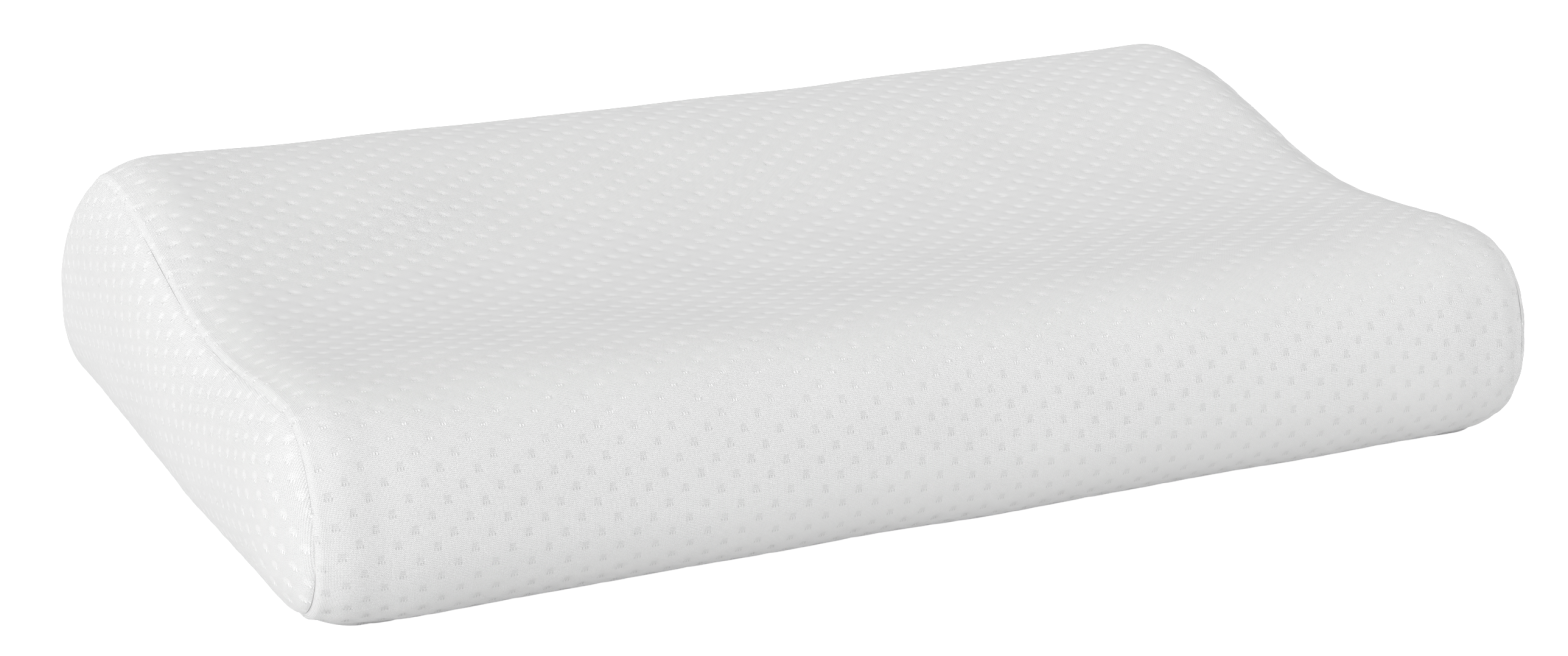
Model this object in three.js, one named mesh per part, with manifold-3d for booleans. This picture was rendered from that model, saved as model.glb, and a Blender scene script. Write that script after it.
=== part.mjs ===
// Contour foam bed pillow: a wave-shaped foam core in a thin liner and a zipped knitted cover.
// Millimetres, +Z up, X along the pillow, the low front lobe towards -Y and the zip towards +Y.
// The origin is at the centre of the pillow's footprint, on the surface it lies on.

import * as THREE from "three";
import Module from "manifold-3d";
import { mergeVertices } from "three/addons/utils/BufferGeometryUtils.js";

const wasm = await Module();
wasm.setup();

// Pillow, outside of the cover.
const LENGTH = 482;
const DEPTH = 305;
const BACK_HEIGHT = 98.6;
const FRONT_HEIGHT = 75;
const VALLEY_HEIGHT = 71.5;
const FRONT_CREST_INSET = 38; // from the front face to the crest of the low lobe
const VALLEY_INSET = 100; // from the front face to the lowest line of the valley
const BACK_CREST_INSET = 67; // from the back face to the crest of the high lobe
const FRONT_FOOT_RUN = 27; // rounding of the lower front edge
const FRONT_FOOT_RISE = 30;
const BACK_FOOT_RUN = 17; // rounding of the lower back edge
const BACK_FOOT_RISE = 16;
const BACK_FLAT_TOP = 44; // the back face is upright from its foot to here

// Rounded ends: each end closes in on the middle line of its panel along a superellipse.
const END_ROUND = 33.5; // from where an end starts to round to its furthest point
const END_POWER = 2.2; // 2 is an ellipse, more is squarer
const SEAM_DEPTH = 21; // from where the end starts to round to the seam
const SPINE_INSET = 40; // the middle line of an end panel stops this far from front and back
const END_CLOSE_ANGLE = THREE.MathUtils.degToRad(80); // a small flat closes each end from here

// Layers and the gaps between them.
const GAP = 0.3;
const COVER_WALL = 2.2;
const LINER_WALL = 0.8;
const SEAM_THREAD = 0.8;

// Zip in the back face.
const ZIP_LENGTH = 380;
const ZIP_HEIGHT = 30; // middle of the zip above the surface
const TAPE_WIDTH = 12.3; // each side
const TAPE_THICKNESS = 0.6;
const TAPE_TAIL = 13; // tape past each end of the chain
const COIL_WIDTH = 2.5; // each side
const COIL_THICKNESS = 2.4;
const SLIDER_POST = 0.8; // divider between the two halves of the chain
const SLIDER_LENGTH = 11;
const SLIDER_WAIST = 8.6; // width at the tail
const SLIDER_SHOULDER = 9; // width at the nose
const SLIDER_PLATE = 1.2;
const SLIDER_CLEARANCE = 0.3;
const SLOT_CLEARANCE = 0.4;
const STOP_LENGTH = 3;
const STITCH_INSET = 3.2; // from the edge of the slot to the row of stitches
const STITCH_WIDTH = 0.9;
const STITCH_HEIGHT = 0.4;
const BARTACK_WIDTH = 3;
const BARTACK_OVERLAP = 1.5; // past the rows of stitches

// Bridge of the slider and the pull that swings in it.
const BRIDGE_WIDTH = 1.6;
const BRIDGE_BAR = 1.1;
const BRIDGE_WINDOW = 4.4; // clear length under the bridge
const PULL_BAR = 1.6; // width of the bar that turns under the bridge
const PULL_THICKNESS = 1.2;
const PULL_LENGTH = 26;
const PULL_WIDTH = 6.4;
const PULL_EYE_SIDE = 1.5; // metal beside the eye

// Places worked out from the sizes.
const CENTRE_GAP = SLIDER_POST + 2 * SLIDER_CLEARANCE;
const CHAIN_HALF = CENTRE_GAP / 2 + COIL_WIDTH;
const SLOT_HALF = SLIDER_SHOULDER / 2 + SLOT_CLEARANCE;
const TAPE_OUT = -COVER_WALL - GAP; // depths are measured outwards from the back face
const TAPE_IN = TAPE_OUT - TAPE_THICKNESS;
const COIL_IN = TAPE_OUT + GAP;
const COIL_OUT = COIL_IN + COIL_THICKNESS;
const SLIDER_IN = TAPE_IN - SLIDER_CLEARANCE - SLIDER_PLATE;
const SLIDER_OUT = COIL_OUT + SLIDER_CLEARANCE + SLIDER_PLATE;
const PULL_SWING = Math.hypot(PULL_BAR, PULL_THICKNESS) / 2;
const PULL_AXIS_OUT = SLIDER_OUT + SLIDER_CLEARANCE + PULL_SWING;
const BRIDGE_UNDER = PULL_AXIS_OUT + PULL_SWING + SLIDER_CLEARANCE;
const BRIDGE_OUT = BRIDGE_UNDER + BRIDGE_BAR;
const RECESS_DEPTH = GAP - SLIDER_IN + TAPE_OUT; // the core is pressed in behind the slider
const RECESS_HALF = 2 * TAPE_WIDTH;
const ROUND_START = LENGTH / 2 - END_ROUND;
const CLOSE_SINE = Math.sin(END_CLOSE_ANGLE);
const SEAM_ANGLE = Math.asin(CLOSE_SINE * (SEAM_DEPTH / END_ROUND) ** (END_POWER / 2));
const ZIP_END = ZIP_LENGTH / 2;
const SLIDER_REST = ZIP_END - SLIDER_LENGTH / 2;

// ---------- meshes ----------

function material(color, roughness, metalness = 0) {
  return new THREE.MeshStandardMaterial({ color, roughness, metalness });
}

const FINISHES = {
  cover: material(0xe6e6e5, 0.92),
  liner: material(0xf0efec, 0.9),
  foam: material(0xf2e9c8, 0.95),
  tape: material(0xeeeeee, 0.85),
  coil: material(0xf4f4f2, 0.4),
  thread: material(0xf2f2f0, 0.7),
  metal: material(0xb9bbbd, 0.3, 1),
};

function named(name, geometry, finish) {
  const mesh = new THREE.Mesh(geometry, FINISHES[finish]);
  mesh.name = name;
  return mesh;
}

/** A closed geometry from vertices and triangles, turned so that its faces point out. */
function closedGeometry(vertices, triangles) {
  const corner = [new THREE.Vector3(), new THREE.Vector3(), new THREE.Vector3()];
  let volume = 0;
  for (const triangle of triangles) {
    triangle.forEach((index, k) => corner[k].copy(vertices[index]));
    volume += corner[0].dot(corner[1].cross(corner[2]));
  }
  const outward = volume > 0 ? triangles : triangles.map(([a, b, c]) => [a, c, b]);
  const geometry = new THREE.BufferGeometry().setFromPoints(vertices);
  geometry.setIndex(outward.flat());
  return geometry;
}

/** The triangles of the flat face inside a ring, wound the way that the ring runs. */
function ringFace(ring) {
  const contour = ring.map((point) => new THREE.Vector2(point.y, point.z));
  const triangles = THREE.ShapeUtils.triangulateShape(contour, []);
  const first = triangles[0].map((index) => contour[index]);
  const agrees = THREE.ShapeUtils.area(contour) * THREE.ShapeUtils.area(first) > 0;
  return agrees ? triangles : triangles.map(([a, b, c]) => [a, c, b]);
}

/**
 * A solid through rings of equally many points. Flat faces close it at both ends, or
 * with looped set the last ring joins the first, as in the wall of a tube.
 */
function loft(rings, looped = false) {
  const count = rings[0].length;
  const triangles = [];
  const spans = looped ? rings.length : rings.length - 1;
  for (let r = 0; r < spans; r += 1) {
    const following = (r + 1) % rings.length;
    const [here, there] = [r * count, following * count];
    // Every skin splits its four-sided faces along the same diagonal, so gaps stay even.
    const rising = rings[r][0].x <= rings[following][0].x;
    for (let i = 0; i < count; i += 1) {
      const next = (i + 1) % count;
      const third = rising ? there + next : there + i;
      const fourth = rising ? here + i : here + next;
      triangles.push([here + i, here + next, third], [fourth, there + next, there + i]);
    }
  }
  if (!looped) {
    const last = (rings.length - 1) * count;
    ringFace(rings[0]).forEach(([a, b, c]) => triangles.push([a, c, b]));
    ringFace(rings.at(-1)).forEach(([a, b, c]) => triangles.push([last + a, last + b, last + c]));
  }
  return closedGeometry(rings.flat(), triangles);
}

function toSolid(geometry) {
  const bare = geometry.clone();
  bare.deleteAttribute("normal");
  bare.deleteAttribute("uv");
  const merged = mergeVertices(bare);
  const vertProperties = new Float32Array(merged.attributes.position.array);
  const triVerts = new Uint32Array(merged.index.array);
  return new wasm.Manifold(new wasm.Mesh({ numProp: 3, vertProperties, triVerts }));
}

function toGeometry(solid) {
  const mesh = solid.getMesh();
  const geometry = new THREE.BufferGeometry();
  geometry.setAttribute("position", new THREE.BufferAttribute(new Float32Array(mesh.vertProperties), 3));
  geometry.setIndex(new THREE.BufferAttribute(new Uint32Array(mesh.triVerts), 1));
  return geometry;
}

/** A box from its lowest to its highest corner. */
function block(low, high) {
  const [x, y, z] = high.map((value, k) => value - low[k]);
  const box = new THREE.BoxGeometry(x, y, z);
  return box.translate(...high.map((value, k) => (value + low[k]) / 2));
}

/** A rounded bar along X: y and z are [low, high]. */
function roundedBar(x, y, z, radius) {
  const shape = new THREE.Shape();
  shape.moveTo(y[0] + radius, z[0]);
  shape.lineTo(y[1] - radius, z[0]);
  shape.quadraticCurveTo(y[1], z[0], y[1], z[0] + radius);
  shape.lineTo(y[1], z[1] - radius);
  shape.quadraticCurveTo(y[1], z[1], y[1] - radius, z[1]);
  shape.lineTo(y[0] + radius, z[1]);
  shape.quadraticCurveTo(y[0], z[1], y[0], z[1] - radius);
  shape.lineTo(y[0], z[0] + radius);
  shape.quadraticCurveTo(y[0], z[0], y[0] + radius, z[0]);
  const bar = new THREE.ExtrudeGeometry(shape, { depth: x[1] - x[0], bevelEnabled: false, curveSegments: 3 });
  // The drawing plane becomes YZ and the extrusion runs along X.
  bar.applyMatrix4(new THREE.Matrix4().set(0, 0, 1, x[0], 1, 0, 0, 0, 0, 1, 0, 0, 0, 0, 0, 1));
  return bar;
}

/** An outline drawn in X and Z, given its thickness from one depth y to the next. */
function plate(shape, yLow, yHigh) {
  const options = { depth: yHigh - yLow, bevelEnabled: false, curveSegments: 6 };
  const body = new THREE.ExtrudeGeometry(shape, options);
  return body.rotateX(Math.PI / 2).translate(0, yHigh, 0);
}

// ---------- the pillow's outline and skins ----------

function curve(from, leave, arrive, to) {
  return new THREE.CubicBezierCurve(...[from, leave, arrive, to].map(([y, z]) => new THREE.Vector2(y, z)));
}

/** The cross-section in y and z, as pieces of curve with the number of steps for each. */
function outlinePieces() {
  const front = -DEPTH / 2;
  const back = DEPTH / 2;
  const frontFoot = [front + FRONT_FOOT_RUN, 0];
  const frontFace = [front, FRONT_FOOT_RISE];
  const frontCrest = [front + FRONT_CREST_INSET, FRONT_HEIGHT];
  const valley = [front + VALLEY_INSET, VALLEY_HEIGHT];
  const backCrest = [back - BACK_CREST_INSET, BACK_HEIGHT];
  const backFlat = [back, BACK_FLAT_TOP];
  const backFace = [back, BACK_FOOT_RISE];
  const backFoot = [back - BACK_FOOT_RUN, 0];
  const round = 0.45; // handle left short of the corner, as on a quarter circle
  const rise = FRONT_HEIGHT - FRONT_FOOT_RISE;
  const shallow = (VALLEY_INSET - FRONT_CREST_INSET) * 0.38;
  const slope = backCrest[0] - valley[0];
  const drop = BACK_HEIGHT - BACK_FLAT_TOP;
  return [
    [curve(frontFoot, [front + FRONT_FOOT_RUN * round, 0], [front, FRONT_FOOT_RISE * round], frontFace), 5],
    [curve(frontFace, [front, FRONT_FOOT_RISE + rise * 0.62],
      [frontCrest[0] - FRONT_CREST_INSET * 0.68, FRONT_HEIGHT], frontCrest), 8],
    [curve(frontCrest, [frontCrest[0] + shallow, FRONT_HEIGHT],
      [valley[0] - shallow, VALLEY_HEIGHT], valley), 4],
    [curve(valley, [valley[0] + slope * 0.4, VALLEY_HEIGHT],
      [backCrest[0] - slope * 0.31, BACK_HEIGHT], backCrest), 7],
    [curve(backCrest, [backCrest[0] + BACK_CREST_INSET * 0.52, BACK_HEIGHT],
      [back - 2, BACK_FLAT_TOP + drop * 0.26], backFlat), 8],
    [new THREE.LineCurve(new THREE.Vector2(...backFlat), new THREE.Vector2(...backFace)), 7],
    [curve(backFace, [back, BACK_FOOT_RISE * round], [back - BACK_FOOT_RUN * round, 0], backFoot), 4],
    [new THREE.LineCurve(new THREE.Vector2(...backFoot), new THREE.Vector2(...frontFoot)), 4],
  ];
}

/** Points round the outline, each with its outward normal. */
function outlinePoints() {
  const points = [];
  for (const [piece, steps] of outlinePieces()) {
    points.push(...piece.getSpacedPoints(steps).slice(0, -1));
  }
  return points.map((point, i) => {
    const along = points[(i + 1) % points.length].clone().sub(points.at(i - 1)).normalize();
    return { point, normal: new THREE.Vector2(-along.y, along.x) };
  });
}

const OUTLINE = outlinePoints();

/** How far the core and liner are pressed in behind the zip, at height z on the back face. */
function zipRecess(point) {
  const away = Math.abs(point.y - ZIP_HEIGHT) / RECESS_HALF;
  const onBack = point.x > DEPTH / 2 - BACK_CREST_INSET;
  return onBack && away < 1 ? RECESS_DEPTH * Math.cos((away * Math.PI) / 2) ** 2 : 0;
}

/** The outline moved in by an inset, and by the recess behind the zip where it applies. */
function insetOutline(inset, recessed) {
  return OUTLINE.map(({ point, normal }) => {
    const depth = inset + (recessed ? zipRecess(point) : 0);
    return point.clone().addScaledVector(normal, -depth);
  });
}

/** One ring of an end: the outline drawn in towards the middle line by a share, at distance x. */
function endRing(outline, share, x) {
  const reach = DEPTH / 2 - SPINE_INSET;
  return outline.map((point) => {
    const spineY = THREE.MathUtils.clamp(point.x, -reach, reach);
    const spineZ = (VALLEY_HEIGHT + (BACK_HEIGHT - VALLEY_HEIGHT) * Math.max(0, spineY / reach)) / 2;
    const y = THREE.MathUtils.lerp(point.x, spineY, share);
    const z = THREE.MathUtils.lerp(point.y, spineZ, share);
    return new THREE.Vector3(x, y, z);
  });
}

/** A ring of an end, at an angle round its superellipse: 0 where the end starts to round. */
function roundRing(skin, angle, side) {
  const along = (Math.sin(angle) / CLOSE_SINE) ** (2 / END_POWER);
  const share = 1 - Math.cos(angle) ** (2 / END_POWER);
  return endRing(skin.outline, share, side * (ROUND_START + (END_ROUND - skin.inset) * along));
}

function skinAt(inset, recessed) {
  return { inset, outline: insetOutline(inset, recessed) };
}

/** Rings from the left seam to the right seam, each edge a gap short of the seam line. */
function wrapRings(skin, gapAngle) {
  const angles = [SEAM_ANGLE - gapAngle, SEAM_ANGLE / 2, 0];
  const left = angles.map((angle) => roundRing(skin, angle, -1));
  const right = angles.toReversed().map((angle) => roundRing(skin, angle, 1));
  return [...left, ...right];
}

/** Rings from the seam to the middle of an end panel. */
function panelRings(skin, gapAngle, side) {
  const span = END_CLOSE_ANGLE - SEAM_ANGLE;
  const steps = [0.25, 0.5, 0.75, 1].map((part) => SEAM_ANGLE + part * span);
  return [SEAM_ANGLE + gapAngle, ...steps].map((angle) => roundRing(skin, angle, side));
}

function wrapShell(outer, inner, gapAngle) {
  return loft([...wrapRings(outer, gapAngle), ...wrapRings(inner, gapAngle).toReversed()], true);
}

function panelShell(outer, inner, gapAngle, side) {
  return loft([...panelRings(outer, gapAngle, side).toReversed(), ...panelRings(inner, gapAngle, side)]);
}

// ---------- cover, liner and core ----------

const COVER_OUTSIDE = skinAt(0, false);
const COVER_INSIDE = skinAt(COVER_WALL, false);
const LINER_OUTSIDE = skinAt(COVER_WALL + GAP, true);
const LINER_INSIDE = skinAt(COVER_WALL + GAP + LINER_WALL, true);
const CORE_OUTSIDE = skinAt(COVER_WALL + GAP + LINER_WALL + GAP, true);
const COVER_SEAM_GAP = (SEAM_THREAD / 2 + GAP) / SEAM_DEPTH / 2;
const LINER_SEAM_GAP = GAP / SEAM_DEPTH / 2;

/** The panel that runs round the pillow, with the slot that the zip closes. */
function coverWrap() {
  const slotEnd = ZIP_END + STOP_LENGTH + SLOT_CLEARANCE;
  const slot = block(
    [-slotEnd, DEPTH / 2 - 2 * COVER_WALL, ZIP_HEIGHT - SLOT_HALF],
    [slotEnd, DEPTH / 2 + COVER_WALL, ZIP_HEIGHT + SLOT_HALF],
  );
  const tube = toSolid(wrapShell(COVER_OUTSIDE, COVER_INSIDE, COVER_SEAM_GAP));
  return named("cover_wrap", toGeometry(tube.subtract(toSolid(slot))), "cover");
}

function coverEnd(name, side) {
  return named(name, panelShell(COVER_OUTSIDE, COVER_INSIDE, COVER_SEAM_GAP, side), "cover");
}

/** The overlock thread that joins a wrap and an end panel, as one cord round the seam. */
function seamThread(name, side) {
  const half = SEAM_THREAD / 2;
  const middle = COVER_WALL / 2;
  const ring = (inset, x) => roundRing(skinAt(inset, false), SEAM_ANGLE, side).map((p) => p.setX(p.x + x));
  const rings = [ring(middle - half, 0), ring(middle, half), ring(middle + half, 0), ring(middle, -half)];
  return named(name, loft(rings, true), "thread");
}

function liner() {
  const shell = wrapShell(LINER_OUTSIDE, LINER_INSIDE, LINER_SEAM_GAP);
  const end = (side) => panelShell(LINER_OUTSIDE, LINER_INSIDE, LINER_SEAM_GAP, side);
  return [
    named("liner_sleeve", shell, "liner"),
    named("liner_end_left", end(-1), "liner"),
    named("liner_end_right", end(1), "liner"),
  ];
}

function foamCore() {
  const end = (side) => panelRings(CORE_OUTSIDE, 0, side);
  const rings = [...end(-1).toReversed(), ...wrapRings(CORE_OUTSIDE, 0).slice(1, -1), ...end(1)];
  return named("foam_core", loft(rings), "foam");
}

// ---------- zip ----------
// The zip is drawn with y measured out from the back face and z from its own middle line.

function zipTape(name, side) {
  const end = ZIP_END + TAPE_TAIL;
  const z = [CENTRE_GAP / 2, CENTRE_GAP / 2 + TAPE_WIDTH].map((value) => side * value).sort((a, b) => a - b);
  return named(name, block([-end, TAPE_IN, z[0]], [end, TAPE_OUT, z[1]]), "tape");
}

function zipCoil(name, side) {
  const z = [CENTRE_GAP / 2, CHAIN_HALF].map((value) => side * value).sort((a, b) => a - b);
  return named(name, roundedBar([-ZIP_END, ZIP_END], [COIL_IN, COIL_OUT], z, COIL_WIDTH / 4), "coil");
}

function topStop(name, side) {
  const start = ZIP_END + GAP;
  const z = [CENTRE_GAP / 2, CHAIN_HALF].map((value) => side * value).sort((a, b) => a - b);
  return named(name, roundedBar([start, start + STOP_LENGTH - GAP], [COIL_IN, COIL_OUT], z, GAP), "metal");
}

function bottomStop() {
  const start = -ZIP_END - GAP;
  const x = [start - STOP_LENGTH + GAP, start];
  const z = [-CHAIN_HALF, CHAIN_HALF];
  return named("zip_bottom_stop", roundedBar(x, [COIL_IN, COIL_OUT], z, GAP), "metal");
}

/** A row of lockstitches beside the slot, as one flat cord on the cover. */
function zipStitch(name, side) {
  const inner = SLOT_HALF + STITCH_INSET;
  const z = [inner, inner + STITCH_WIDTH].map((value) => side * value).sort((a, b) => a - b);
  return named(name, block([-ZIP_END, GAP, z[0]], [ZIP_END, GAP + STITCH_HEIGHT, z[1]]), "thread");
}

/** The dense tack sewn across the end of the zip. */
function barTack(name, side) {
  const half = SLOT_HALF + STITCH_INSET + STITCH_WIDTH + BARTACK_OVERLAP;
  const start = ZIP_END + STOP_LENGTH + SLOT_CLEARANCE + GAP;
  const x = [start, start + BARTACK_WIDTH].map((value) => side * value).sort((a, b) => a - b);
  return named(name, block([x[0], GAP, -half], [x[1], GAP + STITCH_HEIGHT, half]), "thread");
}

/** Outline of the slider from above: a shoulder at the nose, narrowing to the tail. */
function sliderOutline() {
  const nose = SLIDER_LENGTH / 2;
  const shoulder = SLIDER_SHOULDER / 2;
  const waist = SLIDER_WAIST / 2;
  const corner = SLIDER_LENGTH / 8;
  const shape = new THREE.Shape();
  shape.moveTo(-nose, -waist + corner);
  shape.quadraticCurveTo(-nose, -waist, -nose + corner, -waist);
  shape.lineTo(0, -waist);
  shape.lineTo(nose - corner, -shoulder);
  shape.quadraticCurveTo(nose, -shoulder, nose, -shoulder + corner);
  shape.lineTo(nose, shoulder - corner);
  shape.quadraticCurveTo(nose, shoulder, nose - corner, shoulder);
  shape.lineTo(0, waist);
  shape.lineTo(-nose + corner, waist);
  shape.quadraticCurveTo(-nose, waist, -nose, waist - corner);
  shape.closePath();
  return shape;
}

/** The arch over the slider that holds the pull, with rounded shoulders. */
function sliderBridge() {
  const inner = BRIDGE_WINDOW / 2;
  const outer = inner + BRIDGE_BAR;
  const seat = SLIDER_OUT - SLIDER_PLATE / 2;
  const shape = new THREE.Shape();
  shape.moveTo(-outer, seat);
  shape.lineTo(-inner, seat);
  shape.lineTo(-inner, BRIDGE_UNDER);
  shape.lineTo(inner, BRIDGE_UNDER);
  shape.lineTo(inner, seat);
  shape.lineTo(outer, seat);
  shape.lineTo(outer, BRIDGE_UNDER);
  shape.quadraticCurveTo(outer, BRIDGE_OUT, inner, BRIDGE_OUT);
  shape.lineTo(-inner, BRIDGE_OUT);
  shape.quadraticCurveTo(-outer, BRIDGE_OUT, -outer, BRIDGE_UNDER);
  shape.closePath();
  const options = { depth: BRIDGE_WIDTH, bevelEnabled: false, curveSegments: 5 };
  return new THREE.ExtrudeGeometry(shape, options).translate(0, 0, -BRIDGE_WIDTH / 2);
}

/** The slider: two plates round the chain, joined by the post at the nose, and the bridge. */
function zipSlider() {
  const past = SLIDER_LENGTH;
  const channelHalf = CHAIN_HALF + SLIDER_CLEARANCE;
  const channelFloor = TAPE_IN - SLIDER_CLEARANCE;
  const channelRoof = COIL_OUT + SLIDER_CLEARANCE;
  const tapeRoof = TAPE_OUT + SLIDER_CLEARANCE;
  const chain = block([-past, channelFloor, -channelHalf], [past, channelRoof, channelHalf]);
  const tape = block([-past, channelFloor, -past], [past, tapeRoof, past]);
  const postStart = SLIDER_LENGTH / 8;
  const post = block(
    [postStart, SLIDER_IN + SLIDER_PLATE / 2, -SLIDER_POST / 2],
    [SLIDER_LENGTH / 2 - SLIDER_PLATE / 2, SLIDER_OUT - SLIDER_PLATE / 2, SLIDER_POST / 2],
  );
  let solid = toSolid(plate(sliderOutline(), SLIDER_IN, SLIDER_OUT));
  solid = solid.subtract(toSolid(chain)).subtract(toSolid(tape));
  solid = solid.add(toSolid(post)).add(toSolid(sliderBridge()));
  const slider = named("zip_slider", toGeometry(solid), "metal");
  slider.position.x = SLIDER_REST;
  return slider;
}

/** The pull lies back over the closed chain; its eye is round the bridge. */
function zipPull() {
  const near = PULL_BAR / 2;
  const bridgeReach = Math.hypot(BRIDGE_WINDOW / 2 + BRIDGE_BAR, BRIDGE_OUT - PULL_AXIS_OUT);
  const far = bridgeReach + SLIDER_CLEARANCE;
  const eyeHalf = BRIDGE_WIDTH / 2 + SLIDER_CLEARANCE;
  const neck = eyeHalf + PULL_EYE_SIDE;
  const grip = PULL_WIDTH / 2;
  const shape = new THREE.Shape();
  shape.moveTo(near, -neck + near);
  shape.quadraticCurveTo(near, -neck, 0, -neck);
  shape.lineTo(-far, -neck);
  shape.quadraticCurveTo(-far - 2 * grip, -neck + near / 2, -PULL_LENGTH + grip, -grip);
  shape.absarc(-PULL_LENGTH + grip, 0, grip, 1.5 * Math.PI, Math.PI / 2, true);
  shape.quadraticCurveTo(-far - 2 * grip, neck - near / 2, -far, neck);
  shape.lineTo(0, neck);
  shape.quadraticCurveTo(near, neck, near, neck - near);
  shape.closePath();
  const eye = new THREE.Path();
  eye.moveTo(-near, -eyeHalf);
  eye.lineTo(-near, eyeHalf);
  eye.lineTo(-far, eyeHalf);
  eye.lineTo(-far, -eyeHalf);
  eye.closePath();
  shape.holes.push(eye);
  const half = PULL_THICKNESS / 2;
  const pull = named("zip_pull", plate(shape, PULL_AXIS_OUT - half, PULL_AXIS_OUT + half), "metal");
  pull.position.x = SLIDER_REST;
  return pull;
}

function zip() {
  const group = new THREE.Group();
  group.position.set(0, DEPTH / 2, ZIP_HEIGHT);
  group.add(
    zipTape("zip_tape_upper", 1),
    zipTape("zip_tape_lower", -1),
    zipCoil("zip_coil_upper", 1),
    zipCoil("zip_coil_lower", -1),
    topStop("zip_top_stop_upper", 1),
    topStop("zip_top_stop_lower", -1),
    bottomStop(),
    zipStitch("zip_stitch_upper", 1),
    zipStitch("zip_stitch_lower", -1),
    barTack("zip_bartack_left", -1),
    barTack("zip_bartack_right", 1),
    zipSlider(),
    zipPull(),
  );
  return group;
}

// ---------- the whole pillow ----------

const pillow = new THREE.Group();
pillow.add(
  foamCore(),
  ...liner(),
  coverWrap(),
  coverEnd("cover_end_left", -1),
  coverEnd("cover_end_right", 1),
  seamThread("end_seam_thread_left", -1),
  seamThread("end_seam_thread_right", 1),
  zip(),
);
// The bridge stands proud of the back face, so the whole is moved to keep its box on the origin.
pillow.position.y = -BRIDGE_OUT / 2;

export default pillow;
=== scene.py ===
import logging
import math
from dataclasses import dataclass, field
from enum import Enum

import bpy
import numpy as np
from mathutils import Matrix, Vector


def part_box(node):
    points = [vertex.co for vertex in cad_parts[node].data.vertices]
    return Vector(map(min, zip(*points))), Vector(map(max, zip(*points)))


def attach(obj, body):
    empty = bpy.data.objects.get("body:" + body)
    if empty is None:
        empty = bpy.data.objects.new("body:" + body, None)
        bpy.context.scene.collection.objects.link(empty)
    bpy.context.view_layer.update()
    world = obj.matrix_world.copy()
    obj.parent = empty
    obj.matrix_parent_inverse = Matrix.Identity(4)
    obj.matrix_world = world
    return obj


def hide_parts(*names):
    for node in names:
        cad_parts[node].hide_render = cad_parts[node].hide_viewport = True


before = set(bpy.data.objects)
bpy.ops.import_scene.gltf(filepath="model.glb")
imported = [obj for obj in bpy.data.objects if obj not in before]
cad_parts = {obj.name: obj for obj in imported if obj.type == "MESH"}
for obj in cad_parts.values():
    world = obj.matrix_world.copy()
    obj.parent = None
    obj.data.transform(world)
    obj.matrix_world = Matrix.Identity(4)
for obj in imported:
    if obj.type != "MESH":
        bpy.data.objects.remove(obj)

LOG = logging.getLogger("pillow")
MM = 0.001
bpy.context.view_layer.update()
BODY_COVER = "cover"
BODY_SLIDER = "slider"
BODY_PULL = "pull"
CLOSED = 0.985  # how far the rings of an end shrink towards its spine
WHOLE = 1e9  # past the end of any outline


class Side(Enum):
    """The two ends of the pillow, by the sign of their X."""

    LEFT = -1
    RIGHT = 1


class Slot(Enum):
    """The record's material slots."""

    COVER = "cover_knit"
    LINER = "liner_jersey"
    FOAM = "memory_foam"
    TAPE = "zip_tape"
    NYLON = "zip_nylon"
    THREAD = "sewing_thread"
    METAL = "zip_metal"


# ---------------------------------------------------------------- tools


def smooth_step(value: np.ndarray, low: float, high: float) -> np.ndarray:
    """A smooth rise from 0 at low to 1 at high.

    Args:
        value: What is tested.
        low: Where the rise starts.
        high: Where it ends.

    Returns:
        The share from 0 to 1, in value's shape.
    """
    share = np.clip((value - low) / (high - low), 0.0, 1.0)
    return share * share * (3.0 - 2.0 * share)


def hump(value: np.ndarray, centre: float, width: float) -> np.ndarray:
    """A smooth hill of height 1 at centre, which fades over width on both sides."""
    return np.exp(-(((value - centre) / width) ** 2))


def chance(*keys: np.ndarray) -> np.ndarray:
    """A repeatable number from 0 to 1 for each set of whole keys.

    Args:
        keys: Arrays of whole numbers in one shape.

    Returns:
        Numbers from 0 to 1 in that shape.
    """
    total = sum(key * weight for key, weight in zip(keys, (12.9898, 78.233, 37.719)))
    return np.mod(np.sin(total) * 43758.5453, 1.0)


def clear_selection() -> None:
    """Leave edit mode and select nothing."""
    if bpy.context.object is not None and bpy.context.object.mode != "OBJECT":
        bpy.ops.object.mode_set(mode="OBJECT")
    bpy.ops.object.select_all(action="DESELECT")


def make_active(piece: bpy.types.Object) -> None:
    """Select one piece only and make it the active one."""
    clear_selection()
    piece.select_set(True)
    bpy.context.view_layer.objects.active = piece


def apply_modifiers(piece: bpy.types.Object) -> None:
    """Apply every modifier of a piece, in order."""
    make_active(piece)
    for modifier in list(piece.modifiers):
        bpy.ops.object.modifier_apply(modifier=modifier.name)


def settle(piece: bpy.types.Object) -> None:
    """Put a piece's place, turn and scale into its mesh."""
    make_active(piece)
    bpy.ops.object.transform_apply(location=True, rotation=True, scale=True)


def round_edges(piece: bpy.types.Object, width: float, segments: int = 2) -> None:
    """Bevel a piece's sharp edges and apply it.

    Args:
        piece: The piece.
        width: The bevel's width in metres.
        segments: How many steps the rounding has.
    """
    bevel = piece.modifiers.new("round", "BEVEL")
    bevel.width = width
    bevel.segments = segments
    bevel.limit_method = "ANGLE"
    bevel.angle_limit = math.radians(32)
    apply_modifiers(piece)


def smooth_by_angle(piece: bpy.types.Object, angle: float = 35.0) -> None:
    """Shade a piece smooth, except over edges sharper than angle, in degrees."""
    make_active(piece)
    bpy.ops.object.shade_smooth_by_angle(angle=math.radians(angle))


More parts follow.
